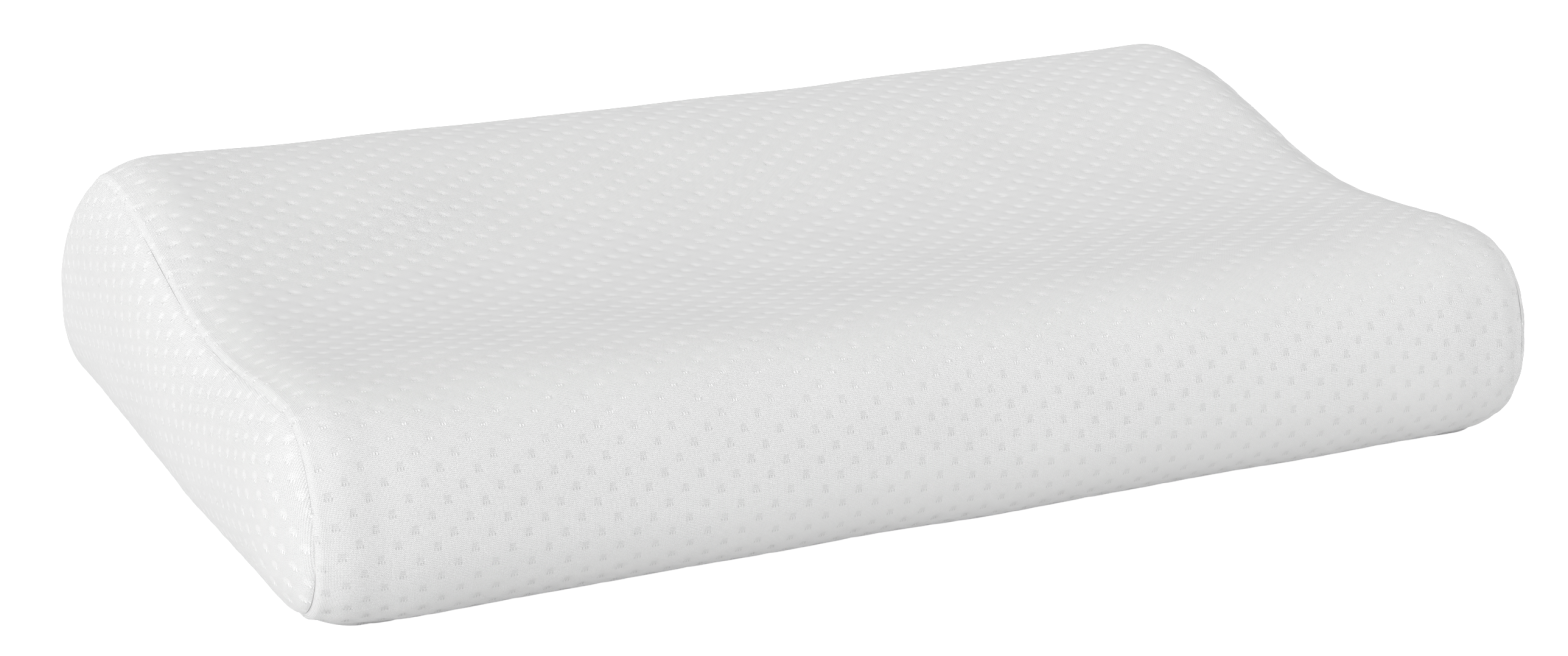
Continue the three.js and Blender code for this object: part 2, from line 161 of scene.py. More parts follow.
def cloth_mesh(
    name: str, points: np.ndarray, quads: np.ndarray, others: list, plan: np.ndarray
) -> bpy.types.Object:
    """A new cloth or foam piece from its points and faces.

    Args:
        name: The piece's name.
        points: The points, in millimetres.
        quads: The four-sided faces, as an array.
        others: Faces with any other number of corners, as lists.
        plan: Each point's place on the flat cloth, in millimetres, for the UV map.

    Returns:
        The new object, shaded smooth, with a UV map in metres.
    """
    mesh = bpy.data.meshes.new(name)
    counts = np.concatenate(
        [np.full(len(quads), 4, int), np.array([len(face) for face in others], int)]
    )
    tail = [corner for face in others for corner in face]
    corners = np.concatenate([quads.ravel(), np.array(tail, int)]).astype(np.int32)
    starts = np.concatenate([[0], np.cumsum(counts)[:-1]]).astype(np.int32)
    mesh.vertices.add(len(points))
    mesh.vertices.foreach_set("co", (points * MM).astype(np.float32).ravel())
    mesh.loops.add(len(corners))
    mesh.loops.foreach_set("vertex_index", corners)
    mesh.polygons.add(len(counts))
    mesh.polygons.foreach_set("loop_start", starts)
    mesh.polygons.foreach_set("use_smooth", np.ones(len(counts), bool))
    layer = mesh.uv_layers.new(name="cloth")
    mesh.update(calc_edges=True)
    layer.data.foreach_set("uv", (plan * MM).astype(np.float32)[corners].ravel())
    mesh.validate(clean_customdata=False)
    piece = bpy.data.objects.new(name, mesh)
    bpy.context.collection.objects.link(piece)
    return piece


def dress(
    piece: bpy.types.Object, finish: bpy.types.Material, slot: Slot, body: str, *nodes: str
) -> None:
    """Give a piece its material and its body, and hide the nodes it stands for.

    Args:
        piece: The piece.
        finish: Its material.
        slot: Not used.
        body: The body it rides on.
        nodes: The frame's nodes that it replaces.
    """
    piece.data.materials.clear()
    piece.data.materials.append(finish)
    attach(piece, body)
    if nodes:
        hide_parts(*nodes)
    LOG.info("%s: %d faces on %s", piece.name, len(piece.data.polygons), body)


def box_mm(node: str) -> tuple[np.ndarray, np.ndarray]:
    """A node's lowest and highest corners, in millimetres."""
    low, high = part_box(node)
    return np.array(low) / MM, np.array(high) / MM


# ---------------------------------------------------------------- the pillow's form


@dataclass(frozen=True)
class PillowForm:
    """The pillow's outer form, in millimetres: one outline, and ends that round in."""

    length: float = 478.0
    depth: float = 305.0
    back_height: float = 99.6
    front_height: float = 75.0
    valley_height: float = 71.4
    shift: float = -2.7
    end_round: float = 33.2
    end_power: float = 2.35
    seam_depth: float = 21.0
    spine_inset: float = 43.0
    close_angle: float = math.radians(80)
    end_lift: float = 0.026
    zip_height: float = 30.0

    @property
    def round_start(self) -> float:
        """The X where an end starts to round in."""
        return self.length / 2 - self.end_round

    @property
    def seam_angle(self) -> float:
        """The rounding's angle at the end seam."""
        share = self.seam_depth / self.end_round
        return math.asin(math.sin(self.close_angle) * share ** (self.end_power / 2))

    def corners(self) -> list[list[tuple[float, float]]]:
        """The outline's curves in order, from the front foot up and over and back."""
        front, back = -self.depth / 2, self.depth / 2
        crest, valley, top = front + 38.0, front + 100.0, back - 67.0
        low, high, dip = self.front_height, self.back_height, self.valley_height
        start = (front + 27.0, 0.0)
        legs = [
            ((front + 12.15, 0.0), (front, 13.5), (front, 30.0)),
            ((front, 57.9), (crest - 25.8, 75.0), (crest, low)),
            ((crest + 23.6, low), (valley - 23.6, dip), (valley, dip)),
            ((valley + 55.2, dip), (top - 42.8, high), (top, high)),
            ((top + 34.8, high), (back - 2.0, 58.2), (back, 44.0)),
            ((back, 34.7), (back, 25.3), (back, 16.0)),
            ((back, 7.2), (back - 7.65, 0.0), (back - 17.0, 0.0)),
            ((back - 100.0, 0.0), (front + 110.0, 0.0), start),
        ]
        curves = []
        for leg in legs:
            curves.append([start, *leg])
            start = leg[-1]
        return curves

    def outline(self, marks: list[tuple[float, float]]) -> tuple[np.ndarray, np.ndarray]:
        """The outline as points, with no two further apart than the steps asked for.

        Args:
            marks: Pairs of a distance along the outline, and the step up to it.

        Returns:
            The points as an array of (y, z), and each one's distance along.
        """
        share = np.linspace(0, 1, 400, endpoint=False)[:, None]
        dense = []
        for a, b, c, d in self.corners():
            a, b, c, d = (np.array(p) for p in (a, b, c, d))
            rest = 1 - share
            dense.append(
                rest**3 * a + 3 * rest**2 * share * b + 3 * rest * share**2 * c + share**3 * d
            )
        line = np.concatenate(dense + [dense[0][:1]])
        along = np.concatenate([[0], np.cumsum(np.hypot(*np.diff(line, axis=0).T))])
        stations = [np.array([0.0])]
        start = 0.0
        for end, step in marks:
            end = min(end, along[-1])
            count = max(1, int(math.ceil((end - start) / step)))
            stations.append(np.linspace(start, end, count + 1)[1:])
            start = end
        places = np.concatenate(stations)[:-1]
        points = np.stack([np.interp(places, along, line[:, k]) for k in (0, 1)], axis=1)
        return points, places

    def place_on_back(self, height: float) -> float:
        """How far along the outline the back face is at this height."""
        points, along = self.outline([(WHOLE, 0.2)])
        back = (points[:, 0] > self.depth / 2 - 0.01) & (points[:, 1] < 44.1)
        order = np.argsort(points[back, 1])
        return float(np.interp(height, points[back, 1][order], along[back][order]))

    def perimeter(self) -> float:
        """The outline's whole length."""
        return float(self.outline([(WHOLE, 0.5)])[1][-1] + 0.5)

    def inset(self, points: np.ndarray, depth: float) -> np.ndarray:
        """The outline's points moved inwards by depth, along its normals."""
        step = np.roll(points, -1, axis=0) - np.roll(points, 1, axis=0)
        step /= np.linalg.norm(step, axis=1)[:, None]
        inwards = np.stack([step[:, 1], -step[:, 0]], axis=1)
        return points + inwards * depth

    def angle_at(self, reach: np.ndarray) -> np.ndarray:
        """The rounding's angle where an end has gone reach past its start."""
        share = np.clip(reach / self.end_round, 0, 1)
        return np.arcsin(math.sin(self.close_angle) * share ** (self.end_power / 2))

    def ring(self, points: np.ndarray, angle: float, depth: float) -> np.ndarray:
        """One ring of the rounded right end.

        Args:
            points: The outline's points at this depth under the surface.
            angle: The rounding's angle: 0 where it starts, a quarter turn at the spine.
            depth: How far under the surface the ring lies.

        Returns:
            The ring's points, with X.
        """
        along = (math.sin(angle) / math.sin(self.close_angle)) ** (2 / self.end_power)
        share = 1 - max(math.cos(angle), 0.0) ** (2 / self.end_power)
        half = self.depth / 2 - self.spine_inset
        spine_y = np.clip(points[:, 0], -half, half)
        rise = (self.back_height - self.valley_height) * np.clip(spine_y / half, 0, 1)
        spine = np.stack([spine_y, (self.valley_height + rise) / 2], axis=1)
        flat = points + (spine - points) * share
        x = self.round_start + (self.end_round - depth) * along
        return np.column_stack([np.full(len(flat), x), flat])

    def finish(self, points: np.ndarray) -> np.ndarray:
        """Put points of the plain form into the frame, with the ends' slight lift."""
        out = points.copy()
        lift = 1 + self.end_lift * (out[..., 0] / (self.length / 2)) ** 2
        out[..., 2] *= lift
        out[..., 1] += self.shift
        return out


@dataclass(frozen=True)
class KnitPattern:
    """The cover cloth's tucks, in millimetres on the flat cloth."""

    pitch: float = 12.3
    row: float = 5.0
    lean: float = 0.45
    tilt: float = 0.165
    start: tuple = (3.2, -1.5)
    tuck: float = 0.85
    tuck_depth: float = 0.12
    pucker_place: float = 0.9
    pucker_before: float = 1.7
    pucker_after: float = 2.4
    pucker_below: float = 0.8
    pucker_above: float = 1.7
    pucker_skew: float = 0.30
    pucker_depth: float = 0.36
    wale: float = 0.8
    course: float = 0.62

    def relief(self, across: np.ndarray, along: np.ndarray, slack: np.ndarray) -> np.ndarray:
        """How deep the cloth is drawn in at each place.

        Args:
            across: The place across the wales.
            along: The place along the wales.
            slack: How freely the cloth puckers there: 1 is the pattern's own depth.

        Returns:
            The depth, which is 0 or more.
        """
        along = along - self.start[1] + self.tilt * (across - self.start[0])
        across = across - self.start[0]
        row = np.round(along / self.row)
        off = across - self.lean * self.pitch * row
        column = np.round(off / self.pitch)
        da = off - column * self.pitch
        db = along - row * self.row
        strength = 0.75 + 0.5 * chance(row, column)
        inside, outside = self.tuck - 0.35, self.tuck + 0.5
        box = (1 - smooth_step(abs(da), inside, outside)) * (1 - smooth_step(abs(db), inside, outside))
        beside = da - self.pucker_place
        above = db + self.pucker_skew * da + 0.4
        width = np.where(beside < 0, self.pucker_before, self.pucker_after)
        height = np.where(above < 0, self.pucker_below, self.pucker_above)
        lens = np.exp(-((beside / width) ** 2) - (above / height) ** 2)
        return strength * (self.tuck_depth * box + self.pucker_depth * slack * lens)


WRAP_KNIT = KnitPattern()
END_KNIT = KnitPattern(
    pitch=7.9,
    row=5.7,
    lean=0.45,
    tilt=0.235,
    tuck_depth=0.15,
    pucker_place=0.3,
    pucker_before=0.9,
    pucker_after=1.7,
    pucker_below=1.2,
    pucker_above=1.5,
    pucker_skew=-0.1,
    pucker_depth=0.30,
)


def cloth_waves(x: np.ndarray, s: np.ndarray) -> np.ndarray:
    """The slow unevenness of stretched cloth over foam, in millimetres, at places in millimetres."""
    return (
        0.30 * np.sin(x / 31 + 0.7) * np.sin(s / 23 + 1.9)
        + 0.18 * np.sin(x / 17 - s / 29 + 0.4)
        + 0.12 * np.sin(x / 11 + s / 13)
    )


def surface_normals(points: np.ndarray) -> np.ndarray:
    """Outward normals of a grid of points that is closed along its second axis."""
    across = np.gradient(points, axis=0)
    around = np.roll(points, -1, axis=1) - np.roll(points, 1, axis=1)
    normal = np.cross(across, around)
    return normal / np.maximum(np.linalg.norm(normal, axis=2), 1e-9)[..., None]


def grid_quads(columns: int, rows: int, start: int = 0, flip: bool = False) -> np.ndarray:
    """The faces between the columns of a grid that is closed around its rows.

    Args:
        columns: How many columns of points there are.
        rows: How many points each column has.
        start: The number of the first point.
        flip: Whether the faces turn the other way.

    Returns:
        An array of faces, with columns - 1 times rows of them.
    """
    i, j = np.meshgrid(np.arange(columns - 1), np.arange(rows), indexing="ij")
    k = (j + 1) % rows
    corners = [i * rows + j, (i + 1) * rows + j, (i + 1) * rows + k, i * rows + k]
    quads = np.stack(corners, axis=-1).reshape(-1, 4) + start
    return quads[:, ::-1] if flip else quads


def rim_faces(rows: int, outer: int, inner: int) -> np.ndarray:
    """The faces between an outer and an inner ring, whose first points have these numbers."""
    j = np.arange(rows)
    k = (j + 1) % rows
    return np.stack([outer + j, inner + j, inner + k, outer + k], axis=1)


def seam_walls(count: int, rows: int, first: int) -> np.ndarray:
    """The faces that join a wall's outside and inside at its left and right ends."""
    last = (count - 1) * rows
    return np.concatenate([rim_faces(rows, 0, first)[:, [0, 3, 2, 1]], rim_faces(rows, last, first + last)])


def close_slit(ring: np.ndarray, first: int, flip: bool) -> list[list[int]]:
    """Triangles that close a long thin ring, from its front end to its back end.

    Args:
        ring: The ring's points.
        first: The number of the ring's first point.
        flip: Whether the faces turn the other way.

    Returns:
        The triangles, as lists of point numbers.
    """
    count = len(ring)
    front, back = int(np.argmin(ring[:, 1])), int(np.argmax(ring[:, 1]))
    upper = [k % count for k in range(front, front + (back - front) % count + 1)]
    lower = [k % count for k in range(front, front - (front - back) % count - 1, -1)]
    faces, a, b = [], 0, 0
    while a < len(upper) - 1 or b < len(lower) - 1:
        rise_upper = ring[upper[a + 1], 1] if a < len(upper) - 1 else 1e9
        rise_lower = ring[lower[b + 1], 1] if b < len(lower) - 1 else 1e9
        if rise_upper <= rise_lower:
            face = [upper[a], upper[a + 1], lower[b]]
            a += 1
        else:
            face = [upper[a], lower[b + 1], lower[b]]
            b += 1
        if len(set(face)) == 3:
            faces.append([first + k for k in (face[::-1] if flip else face)])
    return faces


# ---------------------------------------------------------------- node boards


class NodeBoard:
    """A node tree with short calls for the nodes the finishes use."""

    def __init__(self, tree: bpy.types.NodeTree) -> None:
        """Work on this tree."""
        self.tree = tree

    def add(self, kind: str, **settings: object) -> bpy.types.Node:
        """A new node of a kind, with its settings."""
        node = self.tree.nodes.new(kind)
        for name, value in settings.items():
            setattr(node, name, value)
        return node

    def feed(self, socket: bpy.types.NodeSocket, value: object) -> None:
        """Link a socket, or set its number."""
        if isinstance(value, bpy.types.NodeSocket):
            self.tree.links.new(value, socket)
        else:
            socket.default_value = value

    def math(self, operation: str, *values: object, clamp: bool = False) -> bpy.types.NodeSocket:
        """The result of a Math node on one to three values."""
        node = self.add("ShaderNodeMath", operation=operation, use_clamp=clamp)
        for socket, value in zip(node.inputs, values):
            self.feed(socket, value)
        return node.outputs[0]

    def plus(self, a: object, b: object) -> bpy.types.NodeSocket:
        """The sum of two values."""
        return self.math("ADD", a, b)

    def minus(self, a: object, b: object) -> bpy.types.NodeSocket:
        """The first value less the second."""
        return self.math("SUBTRACT", a, b)

    def times(self, a: object, b: object) -> bpy.types.NodeSocket:
        """The product of two values."""
        return self.math("MULTIPLY", a, b)

    def over(self, a: object, b: object) -> bpy.types.NodeSocket:
        """The first value divided by the second."""
        return self.math("DIVIDE", a, b)

    def absolute(self, value: object) -> bpy.types.NodeSocket:
        """A value without its sign."""
        return self.math("ABSOLUTE", value)

    def mul_add(self, a: object, b: object, c: object, clamp: bool = False) -> bpy.types.NodeSocket:
        """The product of the first two values, plus the third."""
        return self.math("MULTIPLY_ADD", a, b, c, clamp=clamp)

    def fade(self, value: object, low: float, high: float) -> bpy.types.NodeSocket:
        """A smooth rise from 0 at low to 1 at high; it falls where low is the larger."""
        node = self.add("ShaderNodeMapRange", interpolation_type="SMOOTHSTEP")
        numbers = (low, high, 0.0, 1.0) if low <= high else (high, low, 1.0, 0.0)
        for index, number in enumerate(numbers, start=1):
            node.inputs[index].default_value = number
        self.feed(node.inputs[0], value)
        return node.outputs[0]

    def noise(self, place: object, scale: float, detail: float = 2.0) -> bpy.types.NodeSocket:
        """Noise from 0 to 1 at a place."""
        node = self.add("ShaderNodeTexNoise")
        self.feed(node.inputs["Vector"], place)
        node.inputs["Scale"].default_value = scale
        node.inputs["Detail"].default_value = detail
        return node.outputs["Fac"]

    def tint(self, share: object, low: tuple, high: tuple) -> bpy.types.NodeSocket:
        """A colour between two, by share."""
        node = self.add("ShaderNodeMix", data_type="RGBA")
        self.feed(node.inputs[0], share)
        node.inputs[6].default_value = (*low, 1)
        node.inputs[7].default_value = (*high, 1)
        return node.outputs[2]

    def split(self, vector: object) -> bpy.types.NodeOutputs:
        """A vector's X, Y and Z."""
        node = self.add("ShaderNodeSeparateXYZ")
        self.feed(node.inputs[0], vector)
        return node.outputs

    def wave(self, place: object, length: float) -> bpy.types.NodeSocket:
        """A sine along a place that repeats every length."""
        return self.math("SINE", self.times(place, 2 * math.pi / length))

    def paint(self, shader: bpy.types.Node, tone: object, finish: object) -> None:
        """Colour a shader between a finish's shade and its light."""
        self.feed(shader.inputs["Base Color"], self.tint(tone, finish.shade, finish.light))

    def emboss(self, shader: bpy.types.Node, height: object, distance: float, strength: float = 1.0) -> None:
        """Give a shader the normal of a height from 0 to 1, over a distance in metres."""
        node = self.add("ShaderNodeBump")
        node.inputs["Strength"].default_value = strength
        node.inputs["Distance"].default_value = distance
        self.feed(node.inputs["Height"], height)
        self.feed(shader.inputs["Normal"], node.outputs["Normal"])

    def place(self) -> bpy.types.NodeSocket:
        """The place on the piece, in metres."""
        return self.add("ShaderNodeTexCoord").outputs["Object"]

    def group(self, tree: bpy.types.NodeTree, **inputs: object) -> bpy.types.Node:
        """A node group with its inputs set."""
        node = self.add("ShaderNodeGroup", node_tree=tree)
        for name, value in inputs.items():
            self.feed(node.inputs[name.replace("_", " ")], value)
        return node


def new_group(name: str, inputs: tuple, outputs: tuple) -> tuple[NodeBoard, dict, dict]:
    """A new shader node group.

    Args:
        name: Its name.
        inputs: The inputs' names: Place is a vector, and any other a number.
        outputs: The outputs' names, which are all numbers.

    Returns:
        Its board, its input sockets by name and its output sockets by name.
    """
    tree = bpy.data.node_groups.new(name, "ShaderNodeTree")
    for way, titles in (("INPUT", inputs), ("OUTPUT", outputs)):
        for title in titles:
            kind = "NodeSocketVector" if title == "Place" else "NodeSocketFloat"
            tree.interface.new_socket(title, in_out=way, socket_type=kind)
    board = NodeBoard(tree)
    entry = board.add("NodeGroupInput")
    leave = board.add("NodeGroupOutput")
    sources = {title: entry.outputs[title] for title in inputs}
    targets = {title: leave.inputs[title] for title in outputs}
    return board, sources, targets


def knit_stitch_group() -> bpy.types.NodeTree:
    """Plain knitting: columns of V stitches. Height is from 0 to 1."""
    board, source, target = new_group("knit_stitches", ("Across", "Along"), ("Height",))
    column = board.absolute(board.minus(board.math("FRACT", source["Across"]), 0.5))
    from_leg = board.absolute(board.minus(column, 0.25))
    leg = board.minus(1.0, board.times(from_leg, 4.0))
    slope = board.plus(source["Along"], board.times(column, 1.3))
    wave = board.wave(slope, 1.0)
    lobe = board.mul_add(wave, 0.35, 0.65)
    board.feed(target["Height"], board.times(board.math("SQRT", leg), lobe))
    return board.tree


@dataclass(frozen=True)
class TuckSizes:
    """One tuck's sizes in millimetres; each pair says where a mask ends and where it is full."""

    wide: tuple = (1.15, 0.9)
    upper: tuple = (1.25, 0.95)
    lower: tuple = (-0.75, -0.45)
    band_wide: tuple = (1.45, 1.2)
    band_upper: tuple = (-0.5, -0.8)
    band_lower: tuple = (-1.75, -1.4)
    thread_pitch: float = 0.95
    # Where the painted highlight's lens lies beside and above the tuck, and how tall it is.
    highlight_beside: float = 0.36
    highlight_above: float = 0.45
    highlight_height: float = 1.6


def tuck_group() -> bpy.types.NodeTree:
    """The cover's tucks on its flat cloth: masks of the sunk square, of its threads, of the gaps between
    them and of a lens beside it. The cover paints the threads as glints, the gaps as shade and the lens as a
    highlight.
    """
    tuck = TuckSizes()
    board, source, target = new_group(
        "cover_tucks",
        ("Across", "Along", "Pitch", "Row", "Lean", "Tilt", "Wide", "Skew"),
        ("Tuck", "Glint", "Gap", "Flare"),
    )
    level = board.mul_add(source["Across"], source["Tilt"], source["Along"])
    row = board.math("ROUND", board.over(level, source["Row"]))
    db = board.minus(level, board.times(row, source["Row"]))
    lean = board.times(board.times(source["Lean"], source["Pitch"]), row)
    off = board.minus(source["Across"], lean)
    column = board.math("ROUND", board.over(off, source["Pitch"]))
    da = board.minus(off, board.times(column, source["Pitch"]))
    upright = board.minus(db, board.times(da, source["Tilt"]))
    wide = board.fade(board.absolute(da), *tuck.wide)
    high = board.times(board.fade(upright, *tuck.upper), board.fade(upright, *tuck.lower))
    wave = board.math("COSINE", board.times(da, 2 * math.pi / tuck.thread_pitch))
    band = board.times(board.fade(upright, *tuck.band_upper), board.fade(upright, *tuck.band_lower))
    lower = board.times(board.fade(board.absolute(da), *tuck.band_wide), band)
    beside = board.minus(board.over(da, source["Wide"]), tuck.highlight_beside)
    above = board.mul_add(da, source["Skew"], board.minus(db, tuck.highlight_above))
    above = board.over(above, tuck.highlight_height)
    reach = board.plus(board.math("POWER", beside, 2.0), board.math("POWER", above, 2.0))
    # A lens beside each tuck: the mask of the painted highlight on the pucker.
    board.feed(target["Flare"], board.fade(reach, 1.1, 0.1))
    board.feed(target["Tuck"], board.times(wide, high))
    # Glint: the threads low in each tuck, which the cover paints as glints; Gap: the gaps between them,
    # which it paints as shade.
    board.feed(target["Glint"], board.times(lower, board.fade(wave, 0.45, -0.2)))
    board.feed(target["Gap"], board.times(lower, board.fade(wave, 0.1, 0.7)))
    return board.tree


def fibre_group() -> bpy.types.NodeTree:
    """Loose fibre and slow unevenness on cloth and thread. Fuzz and Cloud are from 0 to 1."""
    board, source, target = new_group("fibre", ("Place",), ("Fuzz", "Cloud"))
    board.feed(target["Fuzz"], board.noise(source["Place"], 2600.0, 3.0))
    board.feed(target["Cloud"], board.noise(source["Place"], 26.0, 2.0))
    return board.tree


@dataclass
class SharedEffects:
    """The node groups that more than one finish uses."""

    knit: bpy.types.NodeTree = field(default_factory=knit_stitch_group)
    tucks: bpy.types.NodeTree = field(default_factory=tuck_group)
    fibre: bpy.types.NodeTree = field(default_factory=fibre_group)


# ---------------------------------------------------------------- finishes


def new_material(name: str, **constants: object) -> tuple[bpy.types.Material, NodeBoard, bpy.types.Node]:
    """A material with one Principled BSDF whose even values are set on it.

    Args:
        name: The material's name.
        constants: Values for its sockets, with _ in place of a space.

    Returns:
        The material, its board and its shader.
    """
    material = bpy.data.materials.new(name)
    material.use_nodes = True
    board = NodeBoard(material.node_tree)
    shader = material.node_tree.nodes["Principled BSDF"]
    for title, value in constants.items():
        shader.inputs[title.replace("_", " ")].default_value = value
    return material, board, shader


@dataclass(frozen=True)
class CoverFinish:
    """White jacquard knit with sunk tucks, read from the cloth's own UV map. Its colour carries painted
    shade between the stitches and in the tucks, painted glints on the tucks' threads and a painted highlight
    on each pucker.
    """

    name: str
    pattern: KnitPattern
    turned: bool = False
    # How much the painted highlight brightens each pucker.
    flare: float = 0.14
    bump: float = 0.00028
    bump_strength: float = 0.85
    front_edge: tuple = (-0.154, -0.110)
    back_edge: tuple = (0.128, 0.100)
    foot_edge: tuple = (0.030, 0.045)
    # Where the cloth counts as facing up, for the painted glints, and as steep, for the painted tuck and gap
    # shade.
    facing_up: tuple = (0.35, 0.75)
    light: tuple = (0.99, 0.99, 0.99)
    shade: tuple = (0.52, 0.52, 0.52)

    def material(self, effects: SharedEffects) -> bpy.types.Material:
        """Build the material."""
        material, board, shader = new_material(
            self.name, Roughness=0.62, Sheen_Weight=0.18, Sheen_Roughness=0.45, Specular_IOR_Level=0.3
        )
        flat = board.split(board.add("ShaderNodeUVMap", uv_map="cloth").outputs[0])
        across = board.over(flat[0], MM)
        along = board.over(flat[1], MM)
        pattern = self.pattern
        wales, courses = (along, across) if self.turned else (across, along)
        stitches = board.group(
            effects.knit,
            Across=board.over(wales, pattern.wale),
            Along=board.over(courses, pattern.course),
        )
        tucks = board.group(
            effects.tucks,
            Across=board.minus(across, pattern.start[0]),
            Along=board.minus(along, pattern.start[1]),
            Pitch=pattern.pitch,
            Row=pattern.row,
            Lean=pattern.lean,
            Tilt=pattern.tilt,
            Wide=pattern.pucker_after,
            Skew=pattern.pucker_skew,
        )
        fibre = board.group(effects.fibre, Place=board.place()).outputs
        tuck, gap = tucks.outputs["Tuck"], tucks.outputs["Gap"]
        slack, flat_up = self.slack(board)
        steep = board.minus(1.0, flat_up)
        # Painted glints: bright specks on the tucks' threads, kept to where the cloth faces up; they also
        # raise the bump.
        glint = board.times(tucks.outputs["Glint"], flat_up)
        # Painted highlight on the puckers, only where the cloth lies slack.
        flare = board.times(tucks.outputs["Flare"], slack)
        height = stitches.outputs["Height"]
        for mask, weight in ((fibre["Fuzz"], 0.35), (tuck, -0.35), (glint, 1.0), (gap, -0.5)):
            height = board.mul_add(mask, weight, height)
        board.emboss(shader, height, self.bump, self.bump_strength)
        # The base tone follows the stitch height: painted shade between the stitches.
        bright = board.mul_add(stitches.outputs["Height"], 0.20, 0.35)
        # Painted shade: the sunk tucks and the gaps between their threads darken, only on the steep faces.
        painted_tuck_shade, painted_gap_shade = board.times(tuck, steep), board.times(gap, steep)
        weights = ((fibre["Cloud"], 0.07), (painted_tuck_shade, -0.10), (painted_gap_shade, -0.28), (glint, 0.62))
        for mask, weight in weights:
            bright = board.mul_add(mask, weight, bright)
        # The painted highlight brightens the puckers on top of the base tone.
        board.paint(shader, board.mul_add(flare, self.flare, bright, clamp=True), self)
        return material

    def slack(self, board: NodeBoard) -> tuple[object, object]:
        """Masks of where the cloth lies slack, which holds the painted highlights, and of where it faces up,
        which holds the painted glints while the steep faces take the painted shade; an end panel is slack
        all over.

        Args:
            board: The material's board.

        Returns:
            The two masks, each from 0 to 1.
        """
        if self.turned:
            return 1.0, 1.0
        spot = board.split(board.place())
        facing = board.split(board.add("ShaderNodeNewGeometry").outputs["Normal"])
        slack = board.fade(spot[1], *self.front_edge)
        slack = board.times(slack, board.fade(spot[1], *self.back_edge))
        slack = board.times(slack, board.fade(spot[2], *self.foot_edge))
        return slack, board.fade(facing[2], *self.facing_up)


@dataclass(frozen=True)
class JerseyFinish:
    """The liner's thin off-white jersey."""

    name: str = "liner_jersey"
    light: tuple = (0.86, 0.85, 0.82)
    shade: tuple = (0.78, 0.77, 0.73)

    def material(self, effects: SharedEffects) -> bpy.types.Material:
        """Build the material."""
        material, board, shader = new_material(self.name, Roughness=0.75, Sheen_Weight=0.15)
        flat = board.split(board.add("ShaderNodeUVMap", uv_map="cloth").outputs[0])
        across = board.times(flat[0], 1400.0)
        along = board.times(flat[1], 1900.0)
        height = board.group(effects.knit, Across=across, Along=along).outputs["Height"]
        board.emboss(shader, height, 0.0001)
        # The colour follows the stitch height: painted shade between the stitches.
        board.paint(shader, height, self)
        return material


@dataclass(frozen=True)
class FoamFinish:
    """Pale yellow moulded memory foam with fine pores."""

    name: str = "memory_foam"
    light: tuple = (0.90, 0.84, 0.63)
    shade: tuple = (0.74, 0.65, 0.42)

    def material(self) -> bpy.types.Material:
        """Build the material."""
        material, board, shader = new_material(self.name, Roughness=0.9)
        place = board.place()
        pores = board.add("ShaderNodeTexVoronoi")
        board.feed(pores.inputs["Vector"], place)
        pores.inputs["Scale"].default_value = 900.0
        open_pore = board.fade(pores.outputs["Distance"], 0.1, 0.45)
        board.emboss(shader, open_pore, 0.0003)
        cloud = board.mul_add(board.noise(place, 30.0), 0.5, 0.6)
        # Painted shade in the pores: the colour is darkest where a pore is open, and varies slowly at
        # random.
        board.paint(shader, board.math("MULTIPLY", open_pore, cloud, clamp=True), self)
        return material


@dataclass(frozen=True)
class TapeFinish:
    """The zip's woven tape, with fine ribs along and across."""

    name: str = "zip_tape"
    light: tuple = (0.86, 0.86, 0.855)
    shade: tuple = (0.70, 0.70, 0.695)

    def material(self, effects: SharedEffects) -> bpy.types.Material:
        """Build the material."""
        material, board, shader = new_material(self.name, Roughness=0.7, Sheen_Weight=0.1)
        place = board.place()
        axes = board.split(place)
        warp = board.wave(axes[0], 0.00055)
        weft = board.wave(axes[2], 0.0007)
        weave = board.mul_add(board.times(warp, weft), 0.5, 0.5)
        fibre = board.group(effects.fibre, Place=place)
        height = board.mul_add(fibre.outputs["Fuzz"], 0.4, weave)
        board.emboss(shader, height, 0.00012)
        # The colour follows the weave's height: painted shade where the yarns dip under each other.
        board.paint(shader, weave, self)
        return material


@dataclass(frozen=True)
class NylonFinish:
    """The zip chain's smooth, slightly clear nylon."""

    name: str = "zip_nylon"
    light: tuple = (0.90, 0.90, 0.89)
    shade: tuple = (0.80, 0.80, 0.79)

    def material(self) -> bpy.types.Material:
        """Build the material."""
        material, board, shader = new_material(self.name, Roughness=0.32, Coat_Weight=0.2)
        place = board.place()
        scuff = board.noise(place, 1500.0)
        board.feed(shader.inputs["Roughness"], board.mul_add(scuff, 0.25, 0.2))
        board.paint(shader, board.noise(place, 300.0), self)
        return material


@dataclass(frozen=True)
class ThreadFinish:
    """White polyester sewing thread with twisted plies."""

    name: str = "sewing_thread"
    light: tuple = (0.92, 0.92, 0.915)
    shade: tuple = (0.76, 0.76, 0.755)

    def material(self, effects: SharedEffects) -> bpy.types.Material:
        """Build the material."""
        material, board, shader = new_material(self.name, Roughness=0.5, Sheen_Weight=0.2)
        place = board.place()
        axes = board.split(place)
        lay = board.plus(board.plus(axes[0], axes[1]), axes[2])
        twist = board.mul_add(board.wave(lay, 0.0005), 0.5, 0.5)
        fibre = board.group(effects.fibre, Place=place)
        # The tone is both height and colour: painted shade in the grooves between the plies, with random
        # fibre tone.
        tone = board.mul_add(fibre.outputs["Fuzz"], 0.4, board.times(twist, 0.6))
        board.emboss(shader, tone, 0.00008)
        board.paint(shader, tone, self)
        return material


